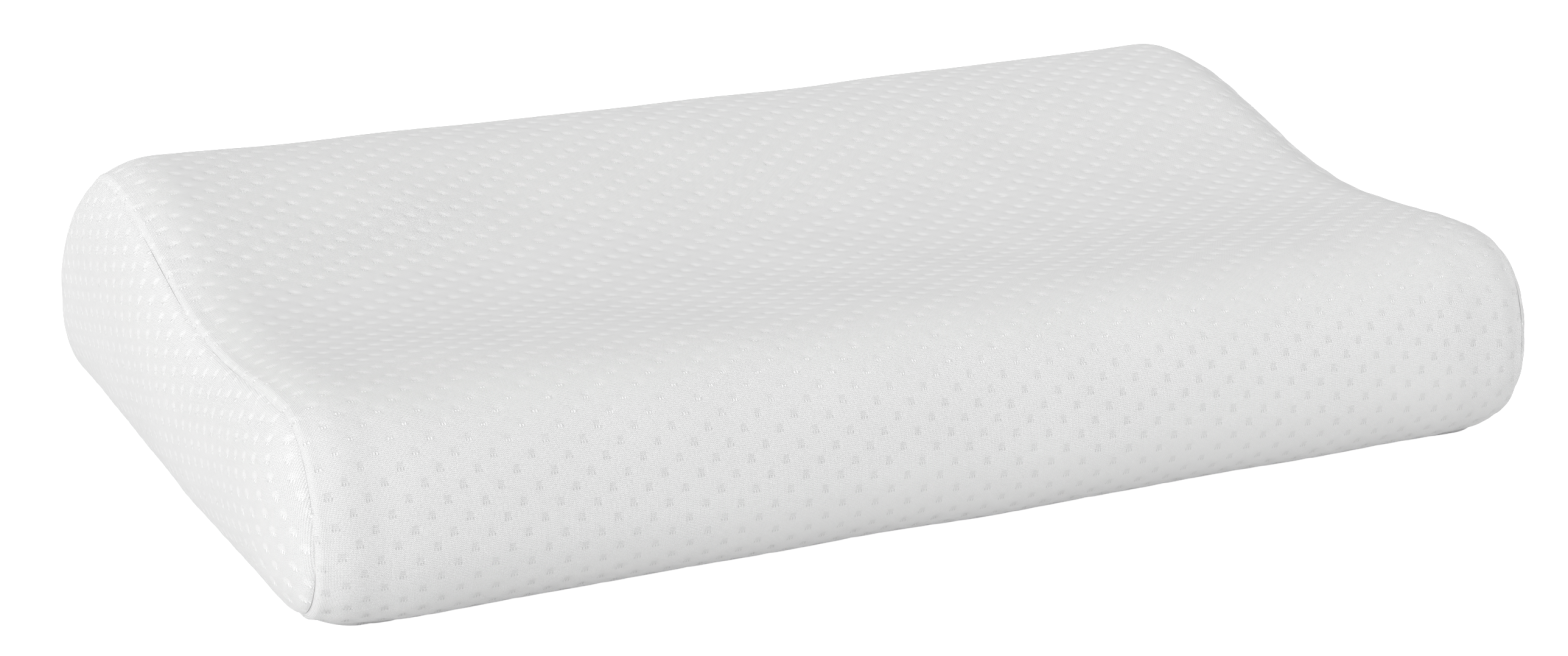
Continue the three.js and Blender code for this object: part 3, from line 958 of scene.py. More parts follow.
@dataclass(frozen=True)
class MetalFinish:
    """Plated zinc with a brushed, lightly worn face."""

    name: str = "zip_metal"
    light: tuple = (0.72, 0.73, 0.74)
    shade: tuple = (0.52, 0.53, 0.54)

    def material(self) -> bpy.types.Material:
        """Build the material."""
        material, board, shader = new_material(self.name, Metallic=1.0)
        place = board.place()
        mapping = board.add("ShaderNodeMapping")
        board.feed(mapping.inputs["Vector"], place)
        mapping.inputs["Scale"].default_value = (1.0, 8.0, 8.0)
        brush = board.noise(mapping.outputs[0], 700.0, 3.0)
        board.feed(shader.inputs["Roughness"], board.mul_add(brush, 0.2, 0.2))
        board.emboss(shader, brush, 0.00003)
        board.paint(shader, board.noise(place, 260.0), self)
        return material


@dataclass
class Finishes:
    """Every finish, built once."""

    effects: SharedEffects = field(default_factory=SharedEffects)

    def __post_init__(self) -> None:
        """Build the materials."""
        self.wrap = CoverFinish("cover_knit_wrap", WRAP_KNIT).material(self.effects)
        self.end = CoverFinish("cover_knit_end", END_KNIT, turned=True).material(self.effects)
        self.liner = JerseyFinish().material(self.effects)
        self.foam = FoamFinish().material()
        self.tape = TapeFinish().material(self.effects)
        self.nylon = NylonFinish().material()
        self.thread = ThreadFinish().material(self.effects)
        self.metal = MetalFinish().material()


# ---------------------------------------------------------------- the knitted cover


@dataclass
class KnittedCover:
    """The cover: one wrap round the body and a panel at each end, sewn into soft grooves."""

    form: PillowForm
    wall: float = 2.2
    step_long: float = 1.2
    step_round: float = 1.0
    step_under: float = 2.0
    seam_gap: float = 0.0001
    bead_height: float = 0.75
    bead_width: float = 1.5
    bead_place: float = 2.0
    groove_depth: float = 0.28
    dent_depth: float = 1.3
    gather: float = 0.10
    end_gather: float = 0.09
    end_bead: float = 0.3
    taut: float = 0.3
    slack_top: float = 1.0
    slack_foot: float = 1.4
    slot_half: float = 4.9
    slot_end: float = 193.4
    zip_reach: float = 20.0
    stitch_line: float = 8.55
    stitch_sink: float = 0.45
    roll_height: float = 0.25
    edge_turn: float = 0.9
    crease: float = 62.0

    def rows(self) -> tuple[np.ndarray, np.ndarray, tuple[int, int]]:
        """The outline's points, each one's distance along, and the rows at the slot's two edges."""
        upper = self.form.place_on_back(self.form.zip_height + self.slot_half)
        lower = self.form.place_on_back(self.form.zip_height - self.slot_half)
        foot = self.form.place_on_back(16.0) + 27.0
        marks = [(place, self.step_round) for place in (upper, lower, foot)] + [(WHOLE, self.step_under)]
        points, along = self.form.outline(marks)
        edges = int(np.argmin(abs(along - upper))), int(np.argmin(abs(along - lower)))
        return points, along, edges

    def columns(self) -> np.ndarray:
        """The wrap's places along X, finer towards the seams and with one at each end of the slot."""
        edge = self.form.seam_angle - self.seam_gap
        reach = self.form.end_round * (math.sin(edge) / math.sin(self.form.close_angle)) ** (
            2 / self.form.end_power
        )
        start = self.form.round_start
        middle = np.linspace(0, self.slot_end, int(self.slot_end / self.step_long) + 1)
        outer = np.linspace(self.slot_end, start, 13)[1:]
        fine = reach - 2.4
        curve = start + np.concatenate([np.linspace(0, fine, 18)[1:], np.linspace(fine, reach, 10)[1:]])
        half = np.concatenate([middle, outer, curve])
        return np.concatenate([-half[:0:-1], half])

    def stack(self, columns: np.ndarray, points: np.ndarray, depth: float) -> np.ndarray:
        """The wrap's plain surface at a depth, one ring for each column."""
        skin = self.form.inset(points, depth)
        rings = []
        for x in columns:
            reach = abs(x) - self.form.round_start
            if reach <= 0:
                rings.append(np.column_stack([np.full(len(skin), x), skin]))
                continue
            ring = self.form.ring(skin, float(self.form.angle_at(np.array(reach))), 0.0)
            ring[:, 0] = x
            rings.append(ring)
        return self.form.finish(np.array(rings))

    def wrap_relief(self, columns: np.ndarray, along: np.ndarray, points: np.ndarray) -> np.ndarray:
        """How far the wrap's surface stands out of the plain form, in millimetres.

        Args:
            columns: The places along X.
            along: Each row's distance along the outline.
            points: The outline's points, as (y, z).

        Returns:
            The relief, by column and row.
        """
        x, s = np.meshgrid(columns, along, indexing="ij")
        y, z = points[:, 0], points[:, 1]
        from_seam = columns[-1] - abs(x)
        back = np.broadcast_to(y > self.form.depth / 2 - 1.0, x.shape)
        over = np.where(back, abs(np.broadcast_to(z, x.shape) - self.form.zip_height), 99.0)
        beyond = np.maximum(abs(x) - self.slot_end, 0.0)
        from_zip = np.hypot(np.maximum(over - self.slot_half, 0.0), beyond)
        by_zip = over < self.zip_reach
        calm = smooth_step(from_seam, 2.2, 5.0) * smooth_step(from_zip, 4.5, 8.0)
        top = smooth_step(y, -151, -105) * (1 - smooth_step(y, 100, 128)) * (z > 40)
        foot = 1 - smooth_step(z, 4, 16)
        slack = self.taut + self.slack_top * top + self.slack_foot * foot
        relief = -WRAP_KNIT.relief(x, s, slack) * calm
        relief += cloth_waves(x, s) * smooth_step(from_zip, 2.0, 14.0)
        bead = hump(from_seam, self.bead_place, self.bead_width)
        relief += self.bead_height * bead * (1 + 0.12 * np.sin(s / 6.3) + 0.1 * np.sin(s / 2.9))
        relief -= self.groove_depth * (1 - smooth_step(from_seam, 0.0, 1.3)) ** 1.2
        relief -= self.dent_depth * (1 - smooth_step(y, -150, -112)) * hump(from_seam, 18, 10) * (z > 1)
        relief += self.gather * np.sin(s / 2.1 + 1.7 * np.sin(s / 19)) * hump(from_seam, 6, 5)
        sewn = hump(np.maximum(over, 0), self.stitch_line, 0.8) * (1 - smooth_step(abs(x), 196, 198))
        relief -= self.stitch_sink * np.where(by_zip, sewn, 0)
        relief += self.roll_height * hump(from_zip, 1.4, 1.3) * by_zip * (abs(x) < self.slot_end + 4)
        edge = (1 - smooth_step(from_zip, 0.0, 1.1)) * by_zip * (abs(x) < self.slot_end + 2)
        return relief - self.edge_turn * edge

    def build_wrap(self) -> bpy.types.Object:
        """The wrap as a closed wall, with the zip's slot through its back."""
        points, along, (top_edge, low_edge) = self.rows()
        columns = self.columns()
        rows = len(along)
        outer = self.stack(columns, points, 0.0)
        normals = surface_normals(outer)
        outer = outer + normals * self.wrap_relief(columns, along, points)[..., None]
        outer[..., 2] = np.maximum(outer[..., 2], 0.0)
        left = int(np.argmin(abs(columns + self.slot_end)))
        right = int(np.argmin(abs(columns - self.slot_end)))
        coarse = self.inner_columns(len(columns), left, right)
        inner = self.stack(columns, points, self.wall)
        quads = grid_quads(len(columns), rows).reshape(len(columns) - 1, rows, 4)
        keep = np.ones((len(columns) - 1, rows), bool)
        keep[left:right, top_edge:low_edge] = False
        first_inner = outer.shape[0] * rows
        others = self.inner_faces(coarse, rows, (left, right), (top_edge, low_edge), first_inner)
        faces = [
            quads[keep],
            seam_walls(len(columns), rows, first_inner),
            self.slot_walls((left, right), (top_edge, low_edge), rows, first_inner),
        ]
        cloud = np.concatenate([outer.reshape(-1, 3), inner.reshape(-1, 3)])
        x, s = np.meshgrid(columns, along, indexing="ij")
        flat = np.stack([x.ravel(), s.ravel()], axis=1)
        plan = np.concatenate([flat, flat])
        return compact_cloth("cover_wrap_knit", cloud, np.concatenate(faces), others, plan)

    def inner_columns(self, count: int, left: int, right: int) -> list[int]:
        """The few columns that the wrap's inside keeps, with the slot's ends among them."""
        kept = {0, count - 1, left, right}
        kept |= set(range(0, left, 8)) | set(range(left, right, 24)) | set(range(right, count, 8))
        return sorted(kept)

    def inner_faces(
        self,
        coarse: list[int],
        rows: int,
        slot_columns: tuple[int, int],
        slot_rows: tuple[int, int],
        first: int,
    ) -> list[list[int]]:
        """The inside's faces, which turn inwards and take in every point of the slot's edges."""
        left, right = slot_columns
        top, low = slot_rows
        faces = []
        for a, b in zip(coarse, coarse[1:]):
            inside = left <= a and b <= right
            for j in range(rows):
                k = (j + 1) % rows
                if inside and top <= j < low:
                    continue
                lower_run, upper_run = [a, b], [a, b]
                if inside and j == low:
                    lower_run = list(range(a, b + 1))
                if inside and k == top:
                    upper_run = list(range(a, b + 1))
                face = [i * rows + j for i in lower_run] + [i * rows + k for i in reversed(upper_run)]
                faces.append([first + corner for corner in reversed(face)])
        return faces

    def slot_walls(
        self, slot_columns: tuple[int, int], slot_rows: tuple[int, int], rows: int, first: int
    ) -> np.ndarray:
        """The faces that join the outside and inside round the zip's slot."""
        (left, right), (top, low) = slot_columns, slot_rows
        i, j = np.arange(left, right) * rows, np.arange(top, low)
        left, right = left * rows, right * rows
        walls = []
        for a, b, turned in (
            (i + rows + top, i + top, False),
            (i + low, i + rows + low, True),
            (left + j, left + j + 1, True),
            (right + j + 1, right + j, False),
        ):
            wall = np.stack([a, first + a, first + b, b], axis=1)
            walls.append(np.roll(wall, -1, axis=1) if turned else wall)
        return np.concatenate(walls)

    def end_relief(self, rings: np.ndarray, along: np.ndarray, side: Side) -> tuple[np.ndarray, np.ndarray]:
        """The end panel's relief, and its plan on the flat cloth, from its plain rings."""
        y, z = rings[..., 1], rings[..., 2]
        across = -side.value * y
        steps = np.linalg.norm(np.diff(rings, axis=0), axis=2)
        from_seam = np.concatenate([np.zeros((1, rings.shape[1])), np.cumsum(steps, axis=0)])
        calm = smooth_step(from_seam, 2.0, 5.0)
        relief = -END_KNIT.relief(across, z, 1 + 0.9 * (1 - smooth_step(z, 4, 16))) * calm
        relief += cloth_waves(y * 1.3, z * 1.7 + 40) * smooth_step(from_seam, 3, 12)
        s = np.broadcast_to(along, y.shape)
        relief += self.end_bead * hump(from_seam, 2.6, 2.4) * (1 + 0.15 * np.sin(s / 5.1 + 2))
        relief -= self.groove_depth * (1 - smooth_step(from_seam, 0.0, 1.3)) ** 1.2
        relief += self.end_gather * np.sin(s / 1.9 + 2 * np.sin(s / 23)) * hump(from_seam, 7, 5)
        return relief, np.stack([across, z], axis=-1)

    def build_end(self, side: Side) -> bpy.types.Object:
        """An end panel as a closed wall."""
        points, along, _ = self.rows()
        rows = len(along)
        start = self.form.seam_angle + self.seam_gap
        power = 2 / self.form.end_power
        first_share = 1 - math.cos(start) ** power
        near = np.linspace(first_share, first_share + 0.045, 9)
        far = np.linspace(near[-1], CLOSED, 46)[1:]
        shares = np.concatenate([near, far])
        angles = np.arccos((1 - shares) ** (1 / power))
        plain = np.array([self.form.ring(points, a, 0.0) for a in angles])
        outer = self.form.finish(plain)
        normals = surface_normals(outer)
        normals[-6:] = (1.0, 0.0, 0.0)
        relief, plan = self.end_relief(outer, along, side)
        outer = outer + normals * relief[..., None]
        kept = list(range(0, len(angles) - 1, 9)) + [len(angles) - 1]
        skin = self.form.inset(points, self.wall)
        inner = self.form.finish(np.array([self.form.ring(skin, angles[k], self.wall) for k in kept]))
        first_inner = outer.shape[0] * rows
        last_ring = (outer.shape[0] - 1) * rows
        flip = side is Side.LEFT
        quads = [
            grid_quads(outer.shape[0], rows, 0, flip),
            grid_quads(len(kept), rows, first_inner, not flip),
        ]
        rim = rim_faces(rows, 0, first_inner)
        quads.append(rim if flip else rim[:, ::-1])
        caps = close_slit(outer[-1], last_ring, not flip)
        caps += close_slit(inner[-1], first_inner + (len(kept) - 1) * rows, flip)
        cloud = np.concatenate([outer.reshape(-1, 3), inner.reshape(-1, 3)])
        cloud[:, 0] *= side.value
        flat = np.concatenate([plan.reshape(-1, 2), np.zeros((inner.shape[0] * rows, 2))])
        name = f"cover_end_{side.name.lower()}_knit"
        return compact_cloth(name, cloud, np.concatenate(quads), caps, flat)

    def build(self, finishes: Finishes) -> None:
        """Build and dress the wrap and both panels."""
        wrap = self.build_wrap()
        smooth_by_angle(wrap, self.crease)
        dress(wrap, finishes.wrap, Slot.COVER, BODY_COVER, "cover_wrap")
        for side in Side:
            panel = self.build_end(side)
            smooth_by_angle(panel, self.crease)
            dress(panel, finishes.end, Slot.COVER, BODY_COVER, f"cover_end_{side.name.lower()}")


def compact_cloth(
    name: str, cloud: np.ndarray, quads: np.ndarray, others: list, plan: np.ndarray
) -> bpy.types.Object:
    """A cloth piece from only those points of a cloud that its faces use."""
    used = np.zeros(len(cloud), bool)
    used[quads.ravel()] = True
    for face in others:
        used[face] = True
    number = np.cumsum(used) - 1
    tidy = [[int(number[corner]) for corner in face] for face in others]
    return cloth_mesh(name, cloud[used], number[quads], tidy, plan[used])


# ---------------------------------------------------------------- the core and its liner


@dataclass
class CoreAndLiner:
    """The foam core and the thin jersey liner sewn round it."""

    form: PillowForm
    core_depth: float = 3.6
    liner_outside: float = 2.5
    liner_inside: float = 3.3
    zip_recess: float = 2.4
    recess_half: float = 24.6
    step: float = 5.0
    liner_gap: float = 0.0094
    sleeve_length: float = 0.446
    end_flat: tuple = (0.300, 0.098)
    end_area: float = 0.0260

    def skin(self, depth: float) -> tuple[np.ndarray, np.ndarray]:
        """The outline at a depth, drawn in behind the zip, and each point's distance along."""
        points, along = self.form.outline([(WHOLE, self.step)])
        off = (points[:, 1] - self.form.zip_height) / self.recess_half
        behind = (points[:, 0] > self.form.depth / 2 - 18) & (abs(off) < 1)
        extra = np.where(behind, self.zip_recess * np.cos(np.clip(off, -1, 1) * math.pi / 2) ** 2, 0.0)
        moved = self.form.inset(points, depth)
        moved[:, 0] -= extra
        return moved, along

    def rings(self, skin: np.ndarray, depth: float, angles: np.ndarray, side: Side) -> np.ndarray:
        """Rings of one rounded end at these angles."""
        rings = np.array([self.form.ring(skin, a, depth) for a in angles])
        rings[..., 0] *= side.value
        return rings

    def whole(self, depth: float, angles: np.ndarray) -> tuple[np.ndarray, np.ndarray]:
        """The left end, the middle and the right end at a depth.

        Args:
            depth: How far under the cover's surface.
            angles: The angles of each end's rings.

        Returns:
            The rings in the frame, and each point's place on the flat cloth.
        """
        skin, along = self.skin(depth)
        left = self.rings(skin, depth, angles, Side.LEFT)[::-1]
        right = self.rings(skin, depth, angles, Side.RIGHT)
        places = np.linspace(-self.form.round_start, self.form.round_start, 60)[1:-1]
        middle = np.array([np.column_stack([np.full(len(skin), x), skin]) for x in places])
        cloud = self.form.finish(np.concatenate([left, middle, right]))
        plan = np.stack([cloud[..., 0], np.broadcast_to(along, cloud.shape[:2])], axis=-1)
        return cloud, plan.reshape(-1, 2)

    def build_core(self) -> bpy.types.Object:
        """The moulded foam core, closed at both ends."""
        angles = np.arccos((1 - np.linspace(0.0, CLOSED, 14)) ** (self.form.end_power / 2))
        cloud, plan = self.whole(self.core_depth, angles)
        count, rows = cloud.shape[:2]
        caps = close_slit(cloud[0], 0, False) + close_slit(cloud[-1], (count - 1) * rows, True)
        return cloth_mesh("foam_core_moulded", cloud.reshape(-1, 3), grid_quads(count, rows), caps, plan)

    def build_sleeve(self) -> bpy.types.Object:
        """The liner's sleeve as a closed thin wall."""
        angles = np.linspace(0, self.form.seam_angle - self.liner_gap, 6)
        outer, plan = self.whole(self.liner_outside, angles)
        inner, _ = self.whole(self.liner_inside, angles)
        count, rows = outer.shape[:2]
        first = count * rows
        sheets = [grid_quads(count, rows), grid_quads(count, rows, first, True)]
        quads = np.concatenate([*sheets, seam_walls(count, rows, first)])
        cloud = np.concatenate([outer.reshape(-1, 3), inner.reshape(-1, 3)])
        return cloth_mesh("liner_sleeve_jersey", cloud, quads, [], np.concatenate([plan, plan]))

    def build_end(self, side: Side) -> bpy.types.Object:
        """A liner end as a closed thin wall."""
        start = 1 - math.cos(self.form.seam_angle + self.liner_gap) ** (2 / self.form.end_power)
        angles = np.arccos((1 - np.linspace(start, CLOSED, 12)) ** (self.form.end_power / 2))
        walls = []
        for depth in (self.liner_outside, self.liner_inside):
            skin, _ = self.skin(depth)
            walls.append(self.form.finish(self.rings(skin, depth, angles, side)))
        count, rows = walls[0].shape[:2]
        first = count * rows
        flip = side is Side.LEFT
        rim = rim_faces(rows, 0, first)
        sheets = [grid_quads(count, rows, 0, flip), grid_quads(count, rows, first, not flip)]
        quads = np.concatenate([*sheets, rim if flip else rim[:, ::-1]])
        last = (count - 1) * rows
        caps = close_slit(walls[0][-1], last, not flip) + close_slit(walls[1][-1], first + last, flip)
        cloud = np.concatenate([wall.reshape(-1, 3) for wall in walls])
        return cloth_mesh(f"liner_end_{side.name.lower()}_jersey", cloud, quads, caps, cloud[:, 1:])

    def build(self, finishes: Finishes) -> None:
        """Build and dress the core, the sleeve and both liner ends."""
        core = self.build_core()
        dress(core, finishes.foam, Slot.FOAM, BODY_COVER, "foam_core")
        around = self.form.perimeter() * MM
        sleeve = self.build_sleeve()
        dress(sleeve, finishes.liner, Slot.LINER, BODY_COVER, "liner_sleeve")
        for side in Side:
            end = self.build_end(side)
            dress(end, finishes.liner, Slot.LINER, BODY_COVER, f"liner_end_{side.name.lower()}")


# ---------------------------------------------------------------- sewing


@dataclass
class EndSeams:
    """The overlock thread that lies in each end seam's groove, as two plies twisted together."""

    form: PillowForm
    depth: float = 0.9
    ply: float = 0.2
    twist: float = 3.2
    corners: int = 5
    step: float = 0.4

    def path(self, side: Side) -> np.ndarray:
        """The seam's line, in the frame."""
        points, _ = self.form.outline([(WHOLE, self.step)])
        skin = self.form.inset(points, self.depth)
        ring = self.form.ring(skin, self.form.seam_angle, 0.0)
        ring[:, 0] *= side.value
        return self.form.finish(ring)

    def build_one(self, side: Side, finishes: Finishes) -> None:
        """Build and dress one seam's thread."""
        path = self.path(side)
        count = len(path)
        forward = np.roll(path, -1, axis=0) - np.roll(path, 1, axis=0)
        forward /= np.linalg.norm(forward, axis=1)[:, None]
        sideways = np.tile(np.array([1.0, 0.0, 0.0]), (count, 1))
        outward = np.cross(forward, sideways)
        turns = round(count * self.step / self.twist)
        spin = np.arange(count) / count * turns * 2 * math.pi
        ring_angles = np.arange(self.corners) / self.corners * 2 * math.pi
        i, j = np.meshgrid(np.arange(self.corners), np.arange(count), indexing="ij")
        i2, j2 = (i + 1) % self.corners, (j + 1) % count
        tube_quads = np.stack([i * count + j, i2 * count + j, i2 * count + j2, i * count + j2], axis=-1)
        clouds, quads = [], []
        for ply in range(2):
            angle = spin + ply * math.pi
            middle = path + self.ply * (np.cos(angle)[:, None] * sideways + np.sin(angle)[:, None] * outward)
            tube = np.array(
                [middle + self.ply * (math.cos(a) * sideways + math.sin(a) * outward) for a in ring_angles]
            )
            quads.append(tube_quads.reshape(-1, 4) + ply * self.corners * count)
            clouds.append(tube.reshape(-1, 3))
        cloud = np.concatenate(clouds)
        name = side.name.lower()
        thread = cloth_mesh(f"end_seam_{name}_thread", cloud, np.concatenate(quads), [], cloud[:, :2])
        make_active(thread)
        bpy.ops.object.mode_set(mode="EDIT")
        bpy.ops.mesh.select_all(action="SELECT")
        bpy.ops.mesh.normals_make_consistent(inside=False)
        bpy.ops.object.mode_set(mode="OBJECT")
        dress(thread, finishes.thread, Slot.THREAD, BODY_COVER, f"end_seam_thread_{name}")

    def build(self, finishes: Finishes) -> None:
        """Build both seams' threads."""
        for side in Side:
            self.build_one(side, finishes)


def upright_bar(name: str, sides: int, radius: float, height: float) -> bpy.types.Object:
    """A closed bar along Z at the origin, from sizes in millimetres."""
    clear_selection()
    bpy.ops.mesh.primitive_cylinder_add(
        vertices=sides, radius=radius * MM, depth=height * MM, location=(0, 0, 0)
    )
    bar = bpy.context.object
    bar.name = name
    return bar


def draw_out(bar: bpy.types.Object, sign: int, moves: list[tuple[tuple, tuple]]) -> None:
    """Extrude a bar's flat end step by step.

    Args:
        bar: The bar, along Z.
        sign: Which end: 1 for the upper one.
        moves: Each step's move, in metres, and the scale of the end that it makes.
    """
    bpy.ops.object.mode_set(mode="EDIT")
    bpy.ops.mesh.select_mode(type="FACE")
    bpy.ops.mesh.select_all(action="DESELECT")
    bpy.ops.object.mode_set(mode="OBJECT")
    for face in bar.data.polygons:
        face.select = face.normal.z * sign > 0.9
    bpy.ops.object.mode_set(mode="EDIT")
    for move, scale in moves:
        bpy.ops.mesh.extrude_region_move(TRANSFORM_OT_translate={"value": move})
        bpy.ops.transform.resize(value=scale)
    bpy.ops.object.mode_set(mode="OBJECT")


@dataclass
class ZipFastener:
    """The nylon coil zip in the back: tapes, chain, stops, slider, pull and its sewing."""

    stitch_pitch: float = 3.0
    stitch_long: float = 2.5
    thread_radius: float = 0.24
    tooth_pitch: float = 1.4
    tooth_radius: float = 0.36
    tack_pitch: float = 0.42
    weld: float = 0.000002

    def thread_bar(self, name: str, start: Vector, end: Vector, sink: float) -> bpy.types.Object:
        """One stitch: a short thread whose two ends go down into the cloth.

        Args:
            name: The piece's name.
            start: Where it comes up, in millimetres.
            end: Where it goes down.
            sink: How deep its ends go, towards the front.

        Returns:
            The stitch, with its place in its mesh.
        """
        run = end - start
        stitch = upright_bar(name, 6, self.thread_radius, run.length * 0.72)
        for sign in (-1, 1):
            draw_out(stitch, sign, [((0, sink * MM, sign * run.length * 0.14 * MM), (0.7, 0.7, 0.7))])
        turn = Vector((0, 0, 1)).rotation_difference(run.normalized())
        stitch.data.transform(turn.to_matrix().to_4x4())
        down = Vector((0, 1, 0))
        down.rotate(turn)
        stitch.data.transform(turn_about(run.normalized(), down, Vector((0, -1, 0))))
        stitch.location = (start + end) / 2 * MM
        settle(stitch)
        return stitch

    def repeat(self, piece: bpy.types.Object, step: Vector, count: int) -> None:
        """Copy a piece's mesh along a line, within the one piece.

        Args:
            piece: The piece.
            step: From one copy to the next, in millimetres.
            count: How many there are.
        """
        array = piece.modifiers.new("row", "ARRAY")
        array.use_relative_offset = False
        array.use_constant_offset = True
        array.constant_offset_displace = step * MM
        array.count = count
        apply_modifiers(piece)
        piece.data.shade_smooth()

    def build_stitches(self, finishes: Finishes) -> None:
        """The two rows of lockstitch that hold the tapes."""
        for which in ("upper", "lower"):
            low, high = box_mm(f"zip_stitch_{which}")
            z = (low[2] + high[2]) / 2
            y = high[1] - 0.35
            count = int((high[0] - low[0]) // self.stitch_pitch)
            start = Vector((low[0] + 0.3, y, z))
            row = self.thread_bar(
                f"zip_lockstitch_{which}", start, start + Vector((self.stitch_long, 0, 0)), 0.42
            )
            self.repeat(row, Vector((self.stitch_pitch, 0, 0)), count)
            dress(row, finishes.thread, Slot.THREAD, BODY_COVER, f"zip_stitch_{which}")

    def build_tacks(self, finishes: Finishes) -> None:
        """The satin bar tack across each end of the zip."""
        for side in Side:
            name = side.name.lower()
            low, high = box_mm(f"zip_bartack_{name}")
            y = high[1] - 0.28
            start = Vector((low[0], y, low[2] + 0.4))
            bar = self.thread_bar(f"zip_satin_tack_{name}", start, Vector((high[0], y, start.z + 0.2)), 0.35)
            count = int((high[2] - low[2] - 0.8) // self.tack_pitch) + 1
            self.repeat(bar, Vector((0, 0, self.tack_pitch)), count)
            dress(bar, finishes.thread, Slot.THREAD, BODY_COVER, f"zip_bartack_{name}")

    def build_tapes(self, finishes: Finishes) -> None:
        """The two woven tapes, each with a thicker selvedge by the chain."""
        for which in ("upper", "lower"):
            node = f"zip_tape_{which}"
            low, high = box_mm(node)
            width = high[2] - low[2]
            flip = which == "upper"
            across = np.array([0, 0.25, 0.9, 1.4, 1.8, 4.0, 7.0, 10.0, width - 0.3, width])
            crown = np.array([0.10, 0.0, 0.0, 0.06, *[0.12] * 5, 0.24])
            z = low[2] + across if flip else high[2] - across
            front = np.stack([high[1] - crown, z], axis=1)
            profile = np.concatenate([front, np.stack([low[1] + crown[::-1] * 0.5, z[::-1]], axis=1)])
            places = np.linspace(low[0], high[0], 160)
            cloud = np.array([np.column_stack([np.full(len(profile), x), profile]) for x in places])
            rows = len(profile)
            quads = grid_quads(len(places), rows, 0, flip)
            first = list(range(rows))
            last = [(len(places) - 1) * rows + k for k in range(rows)]
            caps = [first[::-1], last] if flip else [first, last[::-1]]
            plan = np.stack([cloud[..., 0], cloud[..., 2]], axis=-1).reshape(-1, 2)
            tape = cloth_mesh(f"{node}_woven", cloud.reshape(-1, 3), quads, caps, plan)
            tape.data.shade_flat()
            dress(tape, finishes.tape, Slot.TAPE, BODY_COVER, node)

    def build_chain(self, finishes: Finishes) -> None:
        """The two halves of the coil, each one tooth modelled and copied along."""
        for which in ("upper", "lower"):
            node = f"zip_coil_{which}"
            low, high = box_mm(node)
            sign = 1 if which == "upper" else -1
            reach = high[2] - low[2]
            coil = upright_bar(f"zip_coil_{which}_teeth", 8, self.tooth_radius, reach * 0.8)
            draw_out(coil, -sign, self.tooth_moves(sign, reach, high[1] - low[1]))
            first = low[0] + self.tooth_radius + (self.tooth_pitch / 2 if sign < 0 else 0)
            coil.location = (first * MM, (high[1] - self.tooth_radius) * MM, (low[2] + high[2]) / 2 * MM)
            settle(coil)
            count = int((high[0] - self.tooth_radius - first) // self.tooth_pitch) + 1
            self.repeat(coil, Vector((self.tooth_pitch, 0, 0)), count)
            smooth_by_angle(coil, 50)
            dress(coil, finishes.nylon, Slot.NYLON, BODY_COVER, node)

    def tooth_moves(self, sign: int, reach: float, depth: float) -> list[tuple[tuple, tuple]]:
        """The steps that give a tooth its head and its return leg.

        Args:
            sign: 1 where the tooth's head is at its lower end.
            reach: How long the tooth is.
            depth: How far its return leg lies behind.

        Returns:
            Each step's move, in metres, and its scale.
        """
        back = -(depth - 2 * self.tooth_radius) / 2
        steps = [
            (0, -sign * reach * 0.12, 1.3),
            (back, -sign * 0.25, 0.95),
            (back, sign * 0.3, 0.8),
            (0, sign * reach * 0.75, 1.0),
        ]
        return [((0, y * MM, z * MM), (scale, scale, 1.0)) for y, z, scale in steps]

    def build_metal(self, finishes: Finishes) -> None:
        """The stops, the slider and the pull, as rounded copies of their nodes."""
        parts = {
            "zip_top_stop_upper": (BODY_COVER, 0.25),
            "zip_top_stop_lower": (BODY_COVER, 0.25),
            "zip_bottom_stop": (BODY_COVER, 0.3),
            "zip_slider": (BODY_SLIDER, 0.28),
            "zip_pull": (BODY_PULL, 0.22),
        }
        for node, (body, width) in parts.items():
            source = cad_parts[node]
            source = bpy.data.objects[source] if isinstance(source, str) else source
            clear_selection()
            copy = source.copy()
            copy.data = source.data.copy()
            copy.name = f"{node}_cast"
            for key in list(copy.keys()):
                del copy[key]
            copy.parent = None
            bpy.context.collection.objects.link(copy)
            make_active(copy)
            bpy.ops.object.mode_set(mode="EDIT")
            bpy.ops.mesh.select_all(action="SELECT")
            bpy.ops.mesh.remove_doubles(threshold=self.weld)
            bpy.ops.mesh.dissolve_limited(angle_limit=math.radians(1.0))
            bpy.ops.object.mode_set(mode="OBJECT")
            round_edges(copy, width * MM, 3)
            smooth_by_angle(copy)
            dress(copy, finishes.metal, Slot.METAL, body, node)

    def build(self, finishes: Finishes) -> None:
        """Build and dress the whole zip."""
        self.build_tapes(finishes)
        self.build_chain(finishes)
        self.build_metal(finishes)
        self.build_stitches(finishes)
        self.build_tacks(finishes)


def turn_about(axis: Vector, given: Vector, wanted: Vector) -> object:
    """The turn about an axis that brings a given direction to a wanted one.

    Args:
        axis: The axis, of length 1.
        given: The direction there is.
        wanted: The direction to bring it to.

    Returns:
        A 4 by 4 matrix.
    """
    a = (given - axis * given.dot(axis)).normalized()
    b = (wanted - axis * wanted.dot(axis)).normalized()
    angle = math.atan2(axis.dot(a.cross(b)), a.dot(b))
    return Matrix.Rotation(angle, 4, axis)


# ---------------------------------------------------------------- the studio


